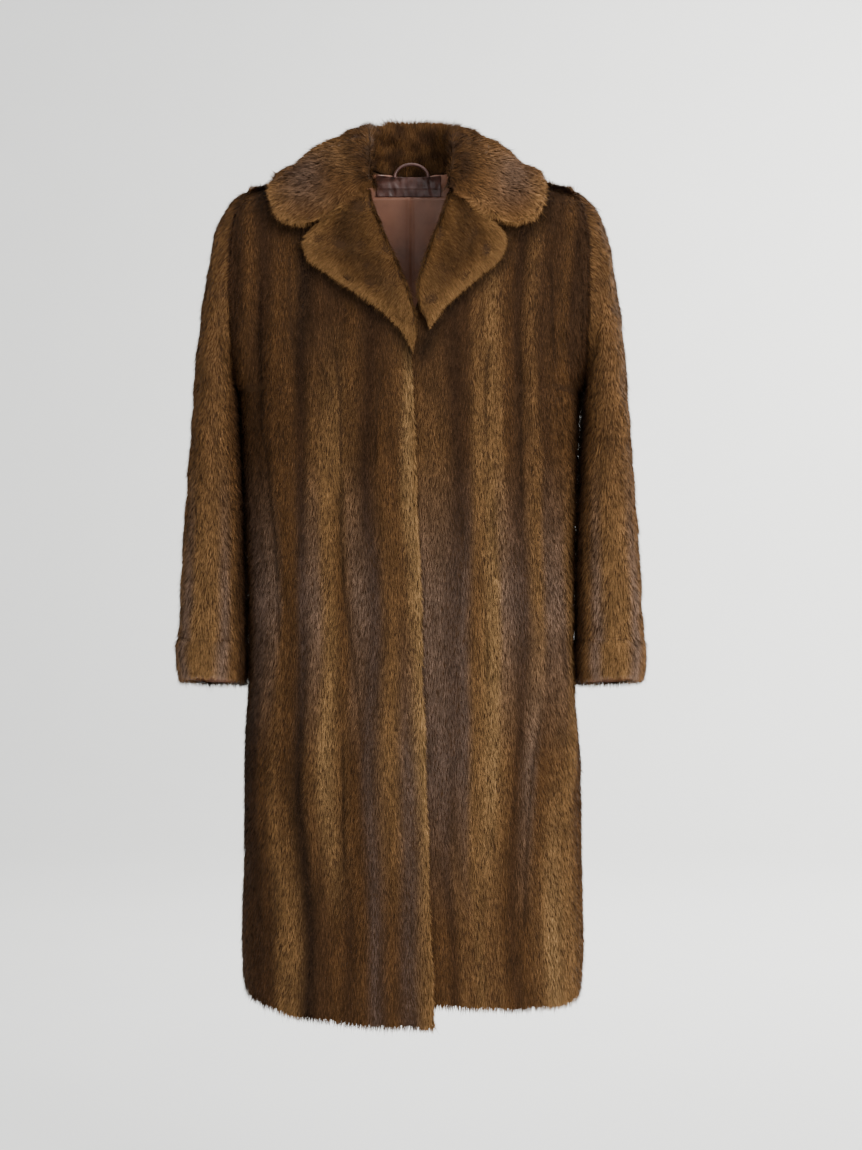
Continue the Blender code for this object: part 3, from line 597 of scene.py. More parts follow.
def shaded_by(side, x, z):
    """The deep shade on a front under the edges of the lapel and the collar."""
    lapel = [(row[2], row[3]) for row in (RIGHT_LAPEL if side == RIGHT else LEFT_LAPEL)]
    collar = [(side * row[4] * COLLAR_REACH[side], float(shoulder_z(row[4])) - abs(row[5]) + 0.006)
              for row in COLLAR[:FRONT_COLLAR_ROWS]]
    return np.maximum(np.exp(-(near_line(lapel, x, z + 0.005) / 0.012) ** 2),
                      np.exp(-(near_line(collar, x, z + 0.004) / 0.013) ** 2))


def kept_off(relief, base, inner, normals):
    """Relief that never presses the skin through to its own underside."""
    gap = np.abs(np.sum((base - inner) * normals, axis=-1))
    return np.maximum(relief, -0.5 * gap)


def waves(rng, places, scale, count=12):
    """A soft seeded unevenness between about -1 and 1; scale is the size of its bumps."""
    total = np.zeros(places.shape[:-1])
    for _ in range(count):
        direction = rng.normal(size=3)
        direction *= rng.uniform(0.6, 1.6) * math.tau / scale / np.linalg.norm(direction)
        total += np.sin(places @ direction + rng.uniform(0, math.tau))
    return total / math.sqrt(count / 2)


def plant(name, points, normals, flow, colour, count, length, seed, lift=LIE, density=None,
          tip="lilac", tip_share=0.0, hang=0.35):
    """Hairs on a grid of points: each a single pointed blade, its root dark and its tip light, partly the
    hair's own colour and partly painted: shade down at the roots and sheen at the tips.
    """
    rng = np.random.default_rng(seed)
    a = points[1:, :-1] - points[:-1, :-1]
    b = points[:-1, 1:] - points[:-1, :-1]
    weight = np.linalg.norm(np.cross(a, b), axis=2)
    if density is not None:
        weight = weight * (density[:-1, :-1] + density[1:, 1:]) / 2
    rows, columns = weight.shape
    cell = rng.choice(rows * columns, size=count, p=(weight / weight.sum()).ravel())
    i, j = cell // columns, cell % columns
    p, q = rng.random(count), rng.random(count)

    def read(grid):
        extra = (1,) * (grid.ndim - 2)
        pp, qq = p.reshape((-1,) + extra), q.reshape((-1,) + extra)
        return ((grid[i, j] * (1 - qq) + grid[i, j + 1] * qq) * (1 - pp)
                + (grid[i + 1, j] * (1 - qq) + grid[i + 1, j + 1] * qq) * pp)

    root, normal, down = read(points), unit(read(normals)), read(flow)
    tone = read(colour)
    down = unit(down - normal * np.sum(down * normal, axis=1, keepdims=True))
    side = np.cross(normal, down)
    lean = rng.normal(0, 0.16, count) + 0.07 * waves(rng, root, 0.05)
    down = unit(down + side * lean[:, None])
    side = np.cross(normal, down)
    guard = rng.random(count) < GUARD_SHARE
    lift = read(np.broadcast_to(np.asarray(lift, float), points.shape[:2]))
    stand = lift + rng.normal(0, 6, count) + 2 * waves(rng, root, 0.03)
    angle = np.radians(7.0 * guard + np.clip(stand, 4, 70))
    along = unit(down * np.cos(angle)[:, None] + normal * np.sin(angle)[:, None]
                 + np.array((0, 0, -hang * 0.3)))
    twist = rng.uniform(-1.05, 1.05, count)
    loose = rng.random(count) < LOOSE_SHARE
    twist[loose] = rng.uniform(-math.pi / 2, math.pi / 2, loose.sum())
    across = side * np.cos(twist)[:, None] + np.cross(along, side) * np.sin(twist)[:, None]
    reach = read(length) * rng.uniform(0.72, 1.12, count) * np.where(guard, 1.55, 1.0)
    wide = HAIR_WIDTH * rng.uniform(0.75, 1.25, count) * np.where(guard, 0.55, 1.0)
    root = root - normal * SETTLE
    half = across * wide[:, None] / 2
    corners = np.stack((root - half, root + half, root + along * reach[:, None]), 1)
    own = np.cross(corners[:, 1] - corners[:, 0], corners[:, 2] - corners[:, 0])
    wrong = np.sum(own * normal, axis=1) < 0
    corners[wrong] = corners[wrong][:, (1, 0, 2)]
    own = unit(np.where(wrong[:, None], -own, own))
    shade = unit(normal * 0.62 + own * 0.38)
    light = np.clip(1 + rng.normal(0, 0.24, count) + 0.06 * waves(rng, root, 0.012), 0.35, 1.9)
    light = np.where(rng.random(count) < LIGHT_SHARE, light * 1.45, light)
    light = np.where(guard, light * 0.62, light)
    hair = tone[:, :3] * light[:, None]
    share = read(np.broadcast_to(np.asarray(tip_share, float), points.shape[:2]))
    share = np.clip(share * rng.uniform(0.4, 1.3, count), 0, 1)[:, None]
    # Roots at half tone are partly painted shade down among the hairs; the tips are lighter, with the tip
    # tone mixed in by tip_share as painted sheen.
    ends = hair * 1.35 * (1 - share) + np.array(TONES[tip][:3]) * light[:, None] * 1.9 * share
    rgba = np.ones((count, 3, 4), np.float32)
    rgba[:, 0, :3] = rgba[:, 1, :3] = hair * 0.5
    rgba[:, 2, :3] = np.clip(ends, 0, 1)
    piece = new_object(name, corners.reshape(-1, 3), np.arange(3 * count).reshape(-1, 3))
    mesh = piece.data
    layer = mesh.color_attributes.new("hair", "FLOAT_COLOR", "POINT")
    layer.data.foreach_set("color", rgba.ravel())
    u, v = (j + q) / columns, 1 - (i + p) / rows
    wide_all = max(np.linalg.norm(b, axis=2).sum(axis=1).mean(), 0.01)
    long_all = max(np.linalg.norm(a, axis=2).sum(axis=0).mean(), 0.01)
    spread = max(1.2 / MAP_SIZE, HAIR_WIDTH / 2 / wide_all)
    fall = np.clip(reach / long_all, 2.0 / MAP_SIZE, 0.2)
    uv = np.stack((np.stack((u - spread, v), -1), np.stack((u + spread, v), -1),
                   np.stack((u, v - fall), -1)), 1)
    uv[wrong] = uv[wrong][:, (1, 0, 2)]
    mesh.uv_layers.new(name="OFBake").data.foreach_set(
        "uv", np.clip(uv, 0.001, 0.999).astype(np.float32).ravel())
    mesh.normals_split_custom_set_from_vertices(np.repeat(shade, 3, axis=0).tolist())
    return piece


# ---------------------------------------------------------------- materials

def nodes_of(name):
    finish = bpy.data.materials.new(name)
    finish.use_nodes = True
    tree = finish.node_tree
    return finish, tree, tree.nodes["Principled BSDF"]


def put(tree, kind, **values):
    node = tree.nodes.new(kind)
    for key, value in values.items():
        if key in node.inputs:
            node.inputs[key].default_value = value
        else:
            setattr(node, key, value)
    return node


def spread(tree, source, low, high, target):
    """Lay the middle of a noise out between two values and feed it to a socket."""
    span = put(tree, "ShaderNodeMapRange")
    for socket, value in (("From Min", 0.3), ("From Max", 0.7), ("To Min", low), ("To Max", high)):
        span.inputs[socket].default_value = value
    tree.links.new(source, span.inputs["Value"])
    tree.links.new(span.outputs["Result"], target)


def tint(tree, source, places, shades, colour, target):
    """Two shades of a colour between two places of a noise."""
    ramp = put(tree, "ShaderNodeValToRGB")
    for element, position, shade in zip(ramp.color_ramp.elements, places, shades):
        element.position, element.color = position, (*(c * shade for c in colour), 1.0)
    tree.links.new(source, ramp.inputs["Fac"])
    tree.links.new(ramp.outputs["Color"], target)


def bump(tree, source, strength, distance, target, under=None):
    """Small relief from a texture, over another relief if there is one."""
    relief = put(tree, "ShaderNodeBump", Strength=strength, Distance=distance)
    tree.links.new(source, relief.inputs["Height"])
    if under is not None:
        tree.links.new(under, relief.inputs["Normal"])
    if target is not None:
        tree.links.new(relief.outputs["Normal"], target)
    return relief.outputs["Normal"]


def hair_material(name, sheen=0.03, rough=0.50):
    """Hair that takes its colour from the blades, with a fine unevenness along them."""
    finish, tree, shader = nodes_of(name)
    paint = put(tree, "ShaderNodeAttribute", attribute_name="hair")
    place = put(tree, "ShaderNodeTexCoord")
    noise = put(tree, "ShaderNodeTexNoise", Scale=420.0, Detail=3.0, Roughness=0.6)
    tree.links.new(place.outputs["Object"], noise.inputs["Vector"])
    scale = put(tree, "ShaderNodeVectorMath", operation="SCALE")
    tree.links.new(paint.outputs["Color"], scale.inputs[0])
    spread(tree, noise.outputs["Fac"], 0.86, 1.14, scale.inputs["Scale"])
    tree.links.new(scale.outputs["Vector"], shader.inputs["Base Color"])
    spread(tree, noise.outputs["Fac"], rough - 0.08, rough + 0.10, shader.inputs["Roughness"])
    shader.inputs["Specular IOR Level"].default_value = 0.05
    shader.inputs["Specular Tint"].default_value = (1.0, 0.72, 0.48, 1.0)
    shader.inputs["Sheen Weight"].default_value = sheen
    shader.inputs["Sheen Roughness"].default_value = 0.4
    shader.inputs["Sheen Tint"].default_value = (0.90, 0.62, 0.42, 1.0)
    return finish


def down_material(name, colour):
    """The short underfur on the skin, seen only between the hairs."""
    finish, tree, shader = nodes_of(name)
    place = put(tree, "ShaderNodeTexCoord")
    noise = put(tree, "ShaderNodeTexNoise", Scale=260.0, Detail=4.0, Roughness=0.65)
    tree.links.new(place.outputs["Object"], noise.inputs["Vector"])
    tint(tree, noise.outputs["Fac"], (0.32, 0.72), (0.45, 1.0), colour, shader.inputs["Base Color"])
    bump(tree, noise.outputs["Fac"], 0.5, 0.0008, shader.inputs["Normal"])
    shader.inputs["Roughness"].default_value = 0.85
    shader.inputs["Specular IOR Level"].default_value = 0.1
    return finish


def satin_material(name, colour):
    """Lining satin: a fine warp and weft, soft wrinkles and a silky sheen."""
    finish, tree, shader = nodes_of(name)
    place = put(tree, "ShaderNodeTexCoord")
    threads = []
    for turn, size in ((0.0, 1500.0), (math.pi / 2, 1100.0)):
        mapping = put(tree, "ShaderNodeMapping", Rotation=(0.0, turn, 0.0))
        wave = put(tree, "ShaderNodeTexWave", Scale=size / 6.0, Distortion=0.6)
        tree.links.new(place.outputs["Object"], mapping.inputs["Vector"])
        tree.links.new(mapping.outputs["Vector"], wave.inputs["Vector"])
        threads.append(wave)
    weave = put(tree, "ShaderNodeMath", operation="ADD")
    tree.links.new(threads[0].outputs["Fac"], weave.inputs[0])
    tree.links.new(threads[1].outputs["Fac"], weave.inputs[1])
    cloud = put(tree, "ShaderNodeTexNoise", Scale=26.0, Detail=4.0, Roughness=0.55)
    tree.links.new(place.outputs["Object"], cloud.inputs["Vector"])
    tint(tree, cloud.outputs["Fac"], (0.30, 0.72), (0.72, 1.30), colour, shader.inputs["Base Color"])
    fold = bump(tree, cloud.outputs["Fac"], 0.35, 0.002, None)
    bump(tree, weave.outputs["Value"], 0.20, 0.0002, shader.inputs["Normal"], fold)
    spread(tree, cloud.outputs["Fac"], 0.34, 0.52, shader.inputs["Roughness"])
    shader.inputs["Sheen Weight"].default_value = 0.14
    shader.inputs["Sheen Tint"].default_value = (0.90, 0.62, 0.50, 1.0)
    return finish


def leather_material(name, colour):
    """Thin glove leather: small grain cells, lighter and darker in soft patches."""
    finish, tree, shader = nodes_of(name)
    place = put(tree, "ShaderNodeTexCoord")
    grain = put(tree, "ShaderNodeTexVoronoi", Scale=900.0)
    cloud = put(tree, "ShaderNodeTexNoise", Scale=90.0, Detail=4.0, Roughness=0.6)
    for texture in (grain, cloud):
        tree.links.new(place.outputs["Object"], texture.inputs["Vector"])
    tint(tree, cloud.outputs["Fac"], (0.35, 0.75), (0.7, 1.7), colour, shader.inputs["Base Color"])
    bump(tree, grain.outputs["Distance"], 0.4, 0.0003, shader.inputs["Normal"])
    spread(tree, cloud.outputs["Fac"], 0.32, 0.52, shader.inputs["Roughness"])
    return finish


FINISHES = {}


def finish_for(key):
    """Each material is made once and shared."""
    coat = bpy.context.scene.coat
    makers = {
        "hair": lambda: hair_material("coat_hair"),
        "collar_hair": lambda: hair_material("collar_hair", sheen=0.04),
        "lapel_hair": lambda: hair_material("lapel_hair", sheen=0.04),
        "down": lambda: down_material("underfur", coat.underfur_colour),
        "satin": lambda: satin_material("lining_satin", coat.satin_colour),
        "leather": lambda: leather_material("neck_leather", coat.leather_colour),
    }
    if key not in FINISHES:
        FINISHES[key] = makers[key]()
    return FINISHES[key]


# ---------------------------------------------------------------- the fur pieces

def measure(value):
    """A size from the settings, without the last digits that they blur."""
    return round(value, 6)


def finish_pair(shell, fur, node, hair):
    """Materials, body, node and cut of a pelt and of the hair on it."""
    shell.data.materials.append(finish_for("down"))
    shell.data.materials.append(finish_for("satin" if hair == "hair" else "down"))
    fur.data.materials.append(finish_for(hair))
    for piece in (shell, fur):
        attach(piece, "root")
    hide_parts(node)


def turned(count, first, last, turns, ends):
    """Even shares with a few more at each end, where the skin turns in round its edge.

    Gives the shares and how far inside the outer skin each lies."""
    share = np.linspace(first, last, count)
    depth = np.full(count, HAIR_ROOM)
    fold = np.linspace(HAIR_ROOM + SKIN, HAIR_ROOM, turns + 1)[:-1]
    if ends[0]:
        share, depth = np.concatenate((np.full(turns, first), share)), np.concatenate((fold, depth))
    if ends[1]:
        share, depth = np.concatenate((share, np.full(turns, last))), np.concatenate((depth, fold[::-1]))
    return share, depth


def panel(name, place, pelts, s_span, s_ends, count, length, seed, outward,
          creases=(), side=0):
    """A front or the back: place(s, v, out) gives its skin, pelts its stripes."""
    s, s_depth = turned(160, s_span[0], s_span[1], 3, s_ends)
    v, v_depth = turned(332, 0.0, 1 - HEM_INSET, 3, (False, True))
    ss, vv = np.meshgrid(s, v)
    deep = np.maximum(*np.meshgrid(s_depth, v_depth))
    sewn = ease(0.90, 0.99, ss) if s_ends[0] else ease(0.93, 0.99, np.abs(ss))
    deep = np.where(deep > HAIR_ROOM, deep, HAIR_ROOM + (SEAM_ROOM - HAIR_ROOM) * sewn)
    base = place(ss, vv, -deep)
    rng = np.random.default_rng(seed + 500)
    drift = 0.0035 * waves(rng, base * np.array((1.0, 1.0, 0.45)), 0.16)
    tone = tone_at(pelts, base[..., 0] + drift, -base[..., 2])
    normals = normals_of(base) * outward
    lower = place(ss, vv, np.full_like(ss, -WALL))
    pressed = crease_bands(creases, base[..., 0], base[..., 2])
    # Darker along the creases: partly the joins' own dark line, partly painted shade in the folds.
    tone[..., :3] *= (1 - 0.60 * pressed)[..., None]
    if side:
        tone[..., :3] *= (1 - 0.78 * shaded_by(side, base[..., 0], base[..., 2]))[..., None]
    relief = tone[..., 3] - 0.0014 * pressed + 0.0006 * waves(rng, base, 0.06)
    relief = np.clip(relief, DEEPEST, PROUDEST)
    relief = relief * ease(0.03, 0.12, vv) * (1 - 0.7 * sewn)
    relief = np.where(deep > HAIR_ROOM, relief, kept_off(relief, base, lower, normals))
    skin = base + normals * relief[..., None]
    normals = normals_of(skin) * outward
    flow = unit(np.gradient(skin, axis=0))
    out_over = unit(np.gradient(skin, axis=1)) * np.where(ss < 0, -1.0, 1.0)[..., None]
    near_edge = ease(0.955, 0.995, np.abs(ss)) if not s_ends[0] else ease(0.94, 0.995, ss)
    near_arm = near_edge * (1 - ease(-ARM_BOTTOM - 0.01, -ARM_BOTTOM + 0.03, -base[..., 2]))
    flow = flow + out_over * (1.3 * near_arm)[..., None]
    top = 1 - ease(0.006, 0.016, vv)
    if side:
        flow = flow * np.where(vv < 0.007, -1.0, 1.0)[..., None]
    grain = 1 + 0.10 * waves(rng, base * np.array((1.0, 1.0, 0.25)), 0.020)
    tone[..., :3] *= np.clip(grain, 0.6, 1.5)[..., None]
    # How cool a stripe's tone is sets how much painted sheen, in the tip tone, its hair tips get.
    cool = np.clip((tone[..., 2] / tone[..., 0] - 0.36) / 0.12, 0, 1)
    # Painted shade: by the armholes, between body and sleeve, the fur is blended towards umber.
    armhole_shade_tone = np.array(TONES["umber"][:3])
    tone[..., :3] = tone[..., :3] * (1 - 0.7 * near_arm[..., None]) + armhole_shade_tone * 0.7 * near_arm[..., None]
    length = length + 0.0025 * near_arm
    density = 1 + 0.7 * ease(0.985, 1.0, vv / (1 - HEM_INSET)) + 2.2 * near_arm + 3.0 * top
    density *= 1 - ease(0.2, 0.7, sewn) * (1 - ease(0.006, 0.014, vv))
    fur = plant(f"{name}_fur", skin, normals, flow, tone, count, length, seed,
                lift=LIE + 16 * top, density=density, tip_share=0.10 + 0.50 * cool)
    rows, columns = picks(len(v), 4), picks(len(s), 4)
    outer = skin[np.ix_(rows, columns)]
    inner = lower[np.ix_(rows, columns)]
    shell = face_out(wall(f"{name}_pelt", outer, inner), outward > 0)
    finish_pair(shell, fur, name, "hair")


def picks(count, step):
    """Every step-th index, and always the last."""
    chosen = list(range(0, count, step))
    return np.array(chosen if chosen[-1] == count - 1 else chosen + [count - 1])


def tube(name, rows_at, side, levels, columns, count, length, seed, mouth):
    """A sleeve or a cuff: rows_at(side, inset, turns) gives its rings."""
    turns = np.linspace(0, math.tau, columns)
    sewn = ease(0.35, 0.95, -np.cos(turns))
    deep = rows_at(side, HAIR_ROOM + (SEAM_ROOM - HAIR_ROOM) * sewn, turns)
    tight = rows_at(side, np.full(columns, SEAM_ROOM), turns)
    steps = np.concatenate(([0.0], np.cumsum(np.linalg.norm(np.diff(deep, axis=0), axis=2).mean(axis=1))))
    at = np.linspace(0, steps[-1] * (0.93 if mouth else 1.0), levels)
    head = (1 - ease(0.0, 0.035, at))[:, None, None] * (0.0 if mouth else 1.0)
    base = through(steps, deep, at) * (1 - head) + through(steps, tight, at) * head
    inner = through(steps, rows_at(side, WALL, turns), at)
    if mouth:
        fold = [base[-1] * (1 - t) + inner[-1] * t for t in (0.34, 0.67, 1.0)]
        base = np.concatenate((base, fold))
        inner = np.concatenate((inner, [inner[-1]] * 3))
    degrees = np.tile(np.degrees(turns), (len(base), 1))
    normals = normals_of(base)
    middle = base.mean(axis=1, keepdims=True)
    outward = 1 if np.sum(normals * (base - middle)) > 0 else -1
    rng = np.random.default_rng(seed + 500)
    drift = 4.0 * waves(rng, base * np.array((1.0, 1.0, 0.45)), 0.16)
    drift[:, -1] = drift[:, 0]
    tone = tone_at(SLEEVE_PELTS, np.clip(degrees + drift * np.sin(turns / 2), 0, 360), -base[..., 2])
    relief = np.clip(tone[..., 3] * 0.8 + 0.0007 * waves(rng, base, 0.05), DEEPEST, PROUDEST)
    relief = kept_off(relief, base, inner, normals)
    relief[:, -1] = relief[:, 0]
    if mouth:
        relief[-4:] = 0
    skin = base + normals * outward * (relief * (1 - 0.7 * sewn))[..., None]
    # Painted light: the left sleeve, on the side the window light comes from, is painted lighter than the
    # right one.
    tone[..., :3] *= 1.22 if side == LEFT else 1.06
    normals = normals_of(skin) * outward
    seam = normals[:, 0] + normals[:, -1]
    normals[:, 0] = normals[:, -1] = seam / np.linalg.norm(seam, axis=1, keepdims=True)
    flow = unit(np.gradient(skin, axis=0))
    grain = 1 + 0.10 * waves(rng, base * np.array((1.0, 1.0, 0.25)), 0.020)
    tone[..., :3] *= np.clip(grain, 0.6, 1.5)[..., None]
    # How cool a stripe's tone is sets how much painted sheen, in the tip tone, its hair tips get.
    cool = np.clip((tone[..., 2] / tone[..., 0] - 0.36) / 0.12, 0, 1)
    fur = plant(f"{name}_fur", skin, normals, flow, tone, count, np.full(skin.shape[:2], length), seed,
                tip_share=0.10 + 0.5 * cool)
    rows, round_ = picks(len(skin), 3), np.arange(0, columns - 1, 3)
    shell = face_out(wall(f"{name}_pelt", skin[np.ix_(rows, round_)], inner[np.ix_(rows, round_)],
                          closed=True), outward > 0)
    finish_pair(shell, fur, name, "hair")


def build_fronts(coat):
    for side, name, pelts, creases, area, seed in (
            (RIGHT, "right", RIGHT_PELTS, RIGHT_CREASES, 0.260, 11),
            (LEFT, "left", LEFT_PELTS, LEFT_CREASES, 0.263, 12)):
        panel(f"front_{name}", lambda s, v, out, side=side: front_at(side, s, v, out), pelts,
              (0.012, 0.998), (True, False), coat.front_hairs, measure(coat.hair_length), seed,
              -1 if side == RIGHT else 1, creases, side)


def build_back(coat):
    panel("back", back_at, BACK_PELTS, (-0.998, 0.998), (False, False), coat.back_hairs,
          measure(coat.hair_length), 13, -1)


def build_sleeves(coat):
    for side, name, seed in ((RIGHT, "right", 21), (LEFT, "left", 22)):
        tube(f"sleeve_{name}", sleeve_rows, side, 170, 145, coat.sleeve_hairs,
             measure(coat.hair_length), seed, False)


def build_cuffs(coat):
    for side, name, seed in ((RIGHT, "right", 31), (LEFT, "left", 32)):
        tube(f"cuff_{name}", cuff_rows, side, 26, 145, coat.cuff_hairs,
             measure(coat.hair_length), seed, True)


def build_collar(coat):
    outer, inner = collar_skins()
    rows, columns = 260, 110
    outer, inner = resampled(outer, rows, columns), resampled(inner, rows, columns)
    through_wall = unit(outer - inner)
    share = np.linspace(0, 1, columns)[None, :]
    on_shoulder = np.exp(-((outer[:, -1:, 1] - SEAM_Y) / 0.040) ** 2)
    pressed = 0.0042 * ease(0.70, 1.0, share) * on_shoulder
    full = 0.0030 * np.sin(math.pi * ease(0.35, 0.95, share)) * on_shoulder
    top = outer - through_wall * (0.0036 + pressed - full)[..., None]
    under = inner + through_wall * 0.0024
    fold = [top[:, -1] * (1 - t) + under[:, -1] * t for t in (0.25, 0.5, 0.75)]
    keep = 24
    sheet = np.concatenate((top, np.stack(fold, 1), under[:, :-keep:-1]), axis=1)
    normals = normals_of(sheet)
    outward = 1 if np.sum(normals[:, :columns] * through_wall) > 0 else -1
    across = np.linspace(-1, 1, rows)[:, None] * np.ones((1, sheet.shape[1]))
    share = np.concatenate((np.linspace(0, 1, columns), np.ones(sheet.shape[1] - columns)))
    share = share[None, :] * np.ones((rows, 1))
    rng = np.random.default_rng(541)
    relief = 0.0010 * waves(rng, sheet, 0.035)
    relief[:, columns - 2:] = 0
    skin = sheet + normals * outward * relief[..., None]
    normals = normals_of(skin) * outward
    flow, along = unit(np.gradient(skin, axis=1)), unit(np.gradient(skin, axis=0))
    ends = ease(0.93, 0.985, np.abs(across))
    flow = flow * (1 - 0.55 * ends[..., None]) + along * (np.sign(across) * 1.2 * ends)[..., None]
    # Lit and shaded copies of the collar's tone: the fall gets the lit tone, and the stand, inside the
    # neckline, a dark mottled tone as painted shade.
    lit = np.array(TONES["chestnut"]) * np.ones(share.shape + (1,))
    patches = np.clip(0.5 + 0.45 * waves(rng, sheet, 0.06), 0, 1)[..., None]
    lit = lit * patches + np.array(TONES["brown"]) * (1 - patches)
    stand = (1 - ease(0.30, 0.46, share))[..., None]
    mottle = np.clip(0.5 + 0.5 * waves(rng, sheet, 0.025), 0, 1)[..., None]
    inside = np.array(TONES["dark"]) * mottle + np.array(TONES["brown"]) * (1 - mottle)
    colour = lit * (1 - stand) + inside * stand
    patch = np.exp(-((np.abs(across) - 0.72) / 0.16) ** 2 - ((share - 0.72) / 0.16) ** 2)[..., None]
    colour = colour * (1 - 0.6 * patch) + np.array(TONES["lilac"]) * 0.6 * patch
    rim = (ease(0.86, 0.99, share) * ease(0.45, 0.75, np.abs(across)))[..., None]
    colour = colour * (1 - 0.7 * rim) + np.array(TONES["gold"]) * 0.7 * rim
    # Painted light: the fall is painted lighter than the stand, and lighter still towards the collar's left
    # end, on the side the window light comes from.
    turned_down = ease(0.35, 0.6, share)
    colour = colour * (1 + (0.20 + 0.50 * ease(0.2, 0.9, across)) * turned_down)[..., None]
    flat = on_shoulder * ease(0.80, 0.97, share)
    length = measure(coat.collar_hair_length) + 0.004 * ends - 0.003 * flat
    fur = plant("collar_fur", skin, normals, flow, colour, coat.collar_hairs, length, 41,
                density=1 + 2.0 * ends, lift=27.0 - 12.0 * flat,
                tip_share=0.06 + 0.4 * patch[..., 0], hang=0.5)
    pick_rows, pick_columns = picks(rows, 3), picks(columns, 3)
    shell = wall("collar_pelt", (top + (skin - sheet)[:, :columns])[np.ix_(pick_rows, pick_columns)],
                 under[np.ix_(pick_rows, pick_columns)])
    face_out(shell, outward > 0)
    finish_pair(shell, fur, "collar", "collar_hair")


def build_lapels(coat):
    for name, rows_in, lapped, seed, flat, area in (
            ("right", RIGHT_LAPEL, True, 51, (0.20, 0.098), 0.0100),
            ("left", LEFT_LAPEL, False, 52, (0.19, 0.085), 0.0082)):
        side = -1 if lapped else 1
        gorge = (side * 0.0492, -0.0545, side * (0.0872 if lapped else 0.0842), -0.0785)
        outer, inner = lapel_skins((gorge,) + rows_in, lapped, 60)
        outer, inner = resampled(outer, 150, 60), resampled(inner, 150, 60)
        if not lapped:
            outer, inner = outer[:133], inner[:133]
        gap = np.linalg.norm(outer - inner, axis=2, keepdims=True)
        middle = outer + (inner - outer) * np.minimum(0.0036, gap * 0.6) / gap
        fold = [middle[:, -1] * (1 - t) + inner[:, -1] * t for t in (0.4, 0.8)]
        first = [middle[:, 0] * (1 - t) + inner[:, 0] * t for t in (0.8, 0.4)]
        sheet = np.concatenate((np.stack(first, 1), middle, np.stack(fold, 1)), axis=1)
        normals = normals_of(sheet)
        outward = 1 if normals[:, 20:40, 1].sum() < 0 else -1
        rng = np.random.default_rng(seed + 500)
        relief = 0.0009 * waves(rng, sheet, 0.03)
        relief[:, :3] = relief[:, -3:] = 0
        skin = sheet + normals * outward * relief[..., None]
        normals = normals_of(skin) * outward
        flow = unit(np.gradient(skin, axis=1)) * 0.7 + np.array((0, 0, -0.7))
        share = np.linspace(0, 1, sheet.shape[1])[None, :] * np.ones((sheet.shape[0], 1))
        low = np.linspace(0, 1, sheet.shape[0])[:, None] * np.ones((1, sheet.shape[1]))
        rim = np.clip(0.9 * ease(0.60, 0.92, share) + (0.8 if lapped else 0.5) * ease(0.5, 0.9, low), 0, 1)
        mix = np.exp(-((share - 0.42) / 0.24) ** 2) * (0.85 + 0.10 * waves(rng, sheet, 0.09))
        mix = np.clip(mix, 0, 1)[..., None]
        middle_tone = np.array(TONES["dark"]) * mix + np.array(TONES["brown"]) * (1 - mix)
        rim_tone = np.array(TONES["chestnut"]) * 0.5 + np.array(TONES["gold"]) * 0.5
        colour = middle_tone * (1 - rim[..., None]) + rim_tone * rim[..., None]
        # Painted light: the left lapel, on the side the window light comes from, is painted lighter than
        # the right one.
        colour = colour * (1.0 if lapped else 1.12)
        length = measure(coat.hair_length) - 0.0045 * ease(0.88, 1.0, low)
        fur = plant(f"lapel_{name}_fur", skin, normals, flow, colour, coat.lapel_hairs, length, seed,
                    tip="pale", tip_share=0.10, density=1 - 0.5 * ease(0.95, 1.0, low))
        shell = wall(f"lapel_{name}_pelt", middle[::3, ::3], inner[::3, ::3])
        face_out(shell, outward > 0)
        finish_pair(shell, fur, f"lapel_{name}", "lapel_hair")


# ---------------------------------------------------------------- lining, neck band and loop

def build_lining():
    """Satin on the inside of the back, with a pleat down its middle and soft wrinkles."""
    v, u = np.meshgrid(np.linspace(0, 1, 60), np.linspace(-1, 1, 81), indexing="ij")
    z = LINING_Z[0] + (LINING_Z[1] - LINING_Z[0]) * v
    x = (LINING_HALF[0] + (LINING_HALF[1] - LINING_HALF[0]) * v) * u
    pleat = 0.0009 * np.exp(-((x + 0.004) / 0.0022) ** 2) - 0.0009 * np.exp(-((x - 0.0005) / 0.0016) ** 2)
    rng = np.random.default_rng(61)
    places = np.stack((x, 0 * x, z * 0.35), -1)
    wrinkle = 0.0005 * waves(rng, places, 0.045) * ease(0.0, 0.15, v)
    near = WALL + LAY + 0.0010 + np.clip(pleat + wrinkle, -0.0010, 0.0016)
    outer, inner = back_point(x, z, -near), back_point(x, z, -near - SATIN * 0.6)
    piece = wall("lining_back_satin", outer, inner)
    normals = normals_of(outer)
    face_out(piece, normals[30, 40, 1] > 0)
    piece.data.materials.append(finish_for("satin"))
    piece.data.materials.append(finish_for("satin"))
    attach(piece, "root")
    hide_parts("lining_back")


def tube_along(name, centres, radius, sides=14, across=None):
    """A round cord through points; across gives a fixed direction to start the rings from."""
    centres = np.asarray(centres, float)
    along = np.gradient(centres, axis=0)
    along /= np.linalg.norm(along, axis=1, keepdims=True)
    start = np.array(across if across is not None else (0.0, 1.0, 0.0))
    side = start - along * (along @ start)[:, None]
    side /= np.linalg.norm(side, axis=1, keepdims=True)
    other = np.cross(along, side)
    turns = np.arange(sides) * math.tau / sides
    radius = np.broadcast_to(np.asarray(radius, float), (len(centres),))
    ring = (side[:, None] * np.cos(turns)[None, :, None] + other[:, None] * np.sin(turns)[None, :, None])
    points = centres[:, None] + ring * radius[:, None, None]
    rows = len(centres)
    index = np.arange(rows * sides).reshape(rows, sides)
    index = np.concatenate((index, index[:, :1]), axis=1)
    faces = np.stack((index[:-1, :-1].ravel(), index[:-1, 1:].ravel(), index[1:, 1:].ravel(),
                      index[1:, :-1].ravel()), -1)
    piece = new_object(name, points.reshape(-1, 3), faces)
    return piece


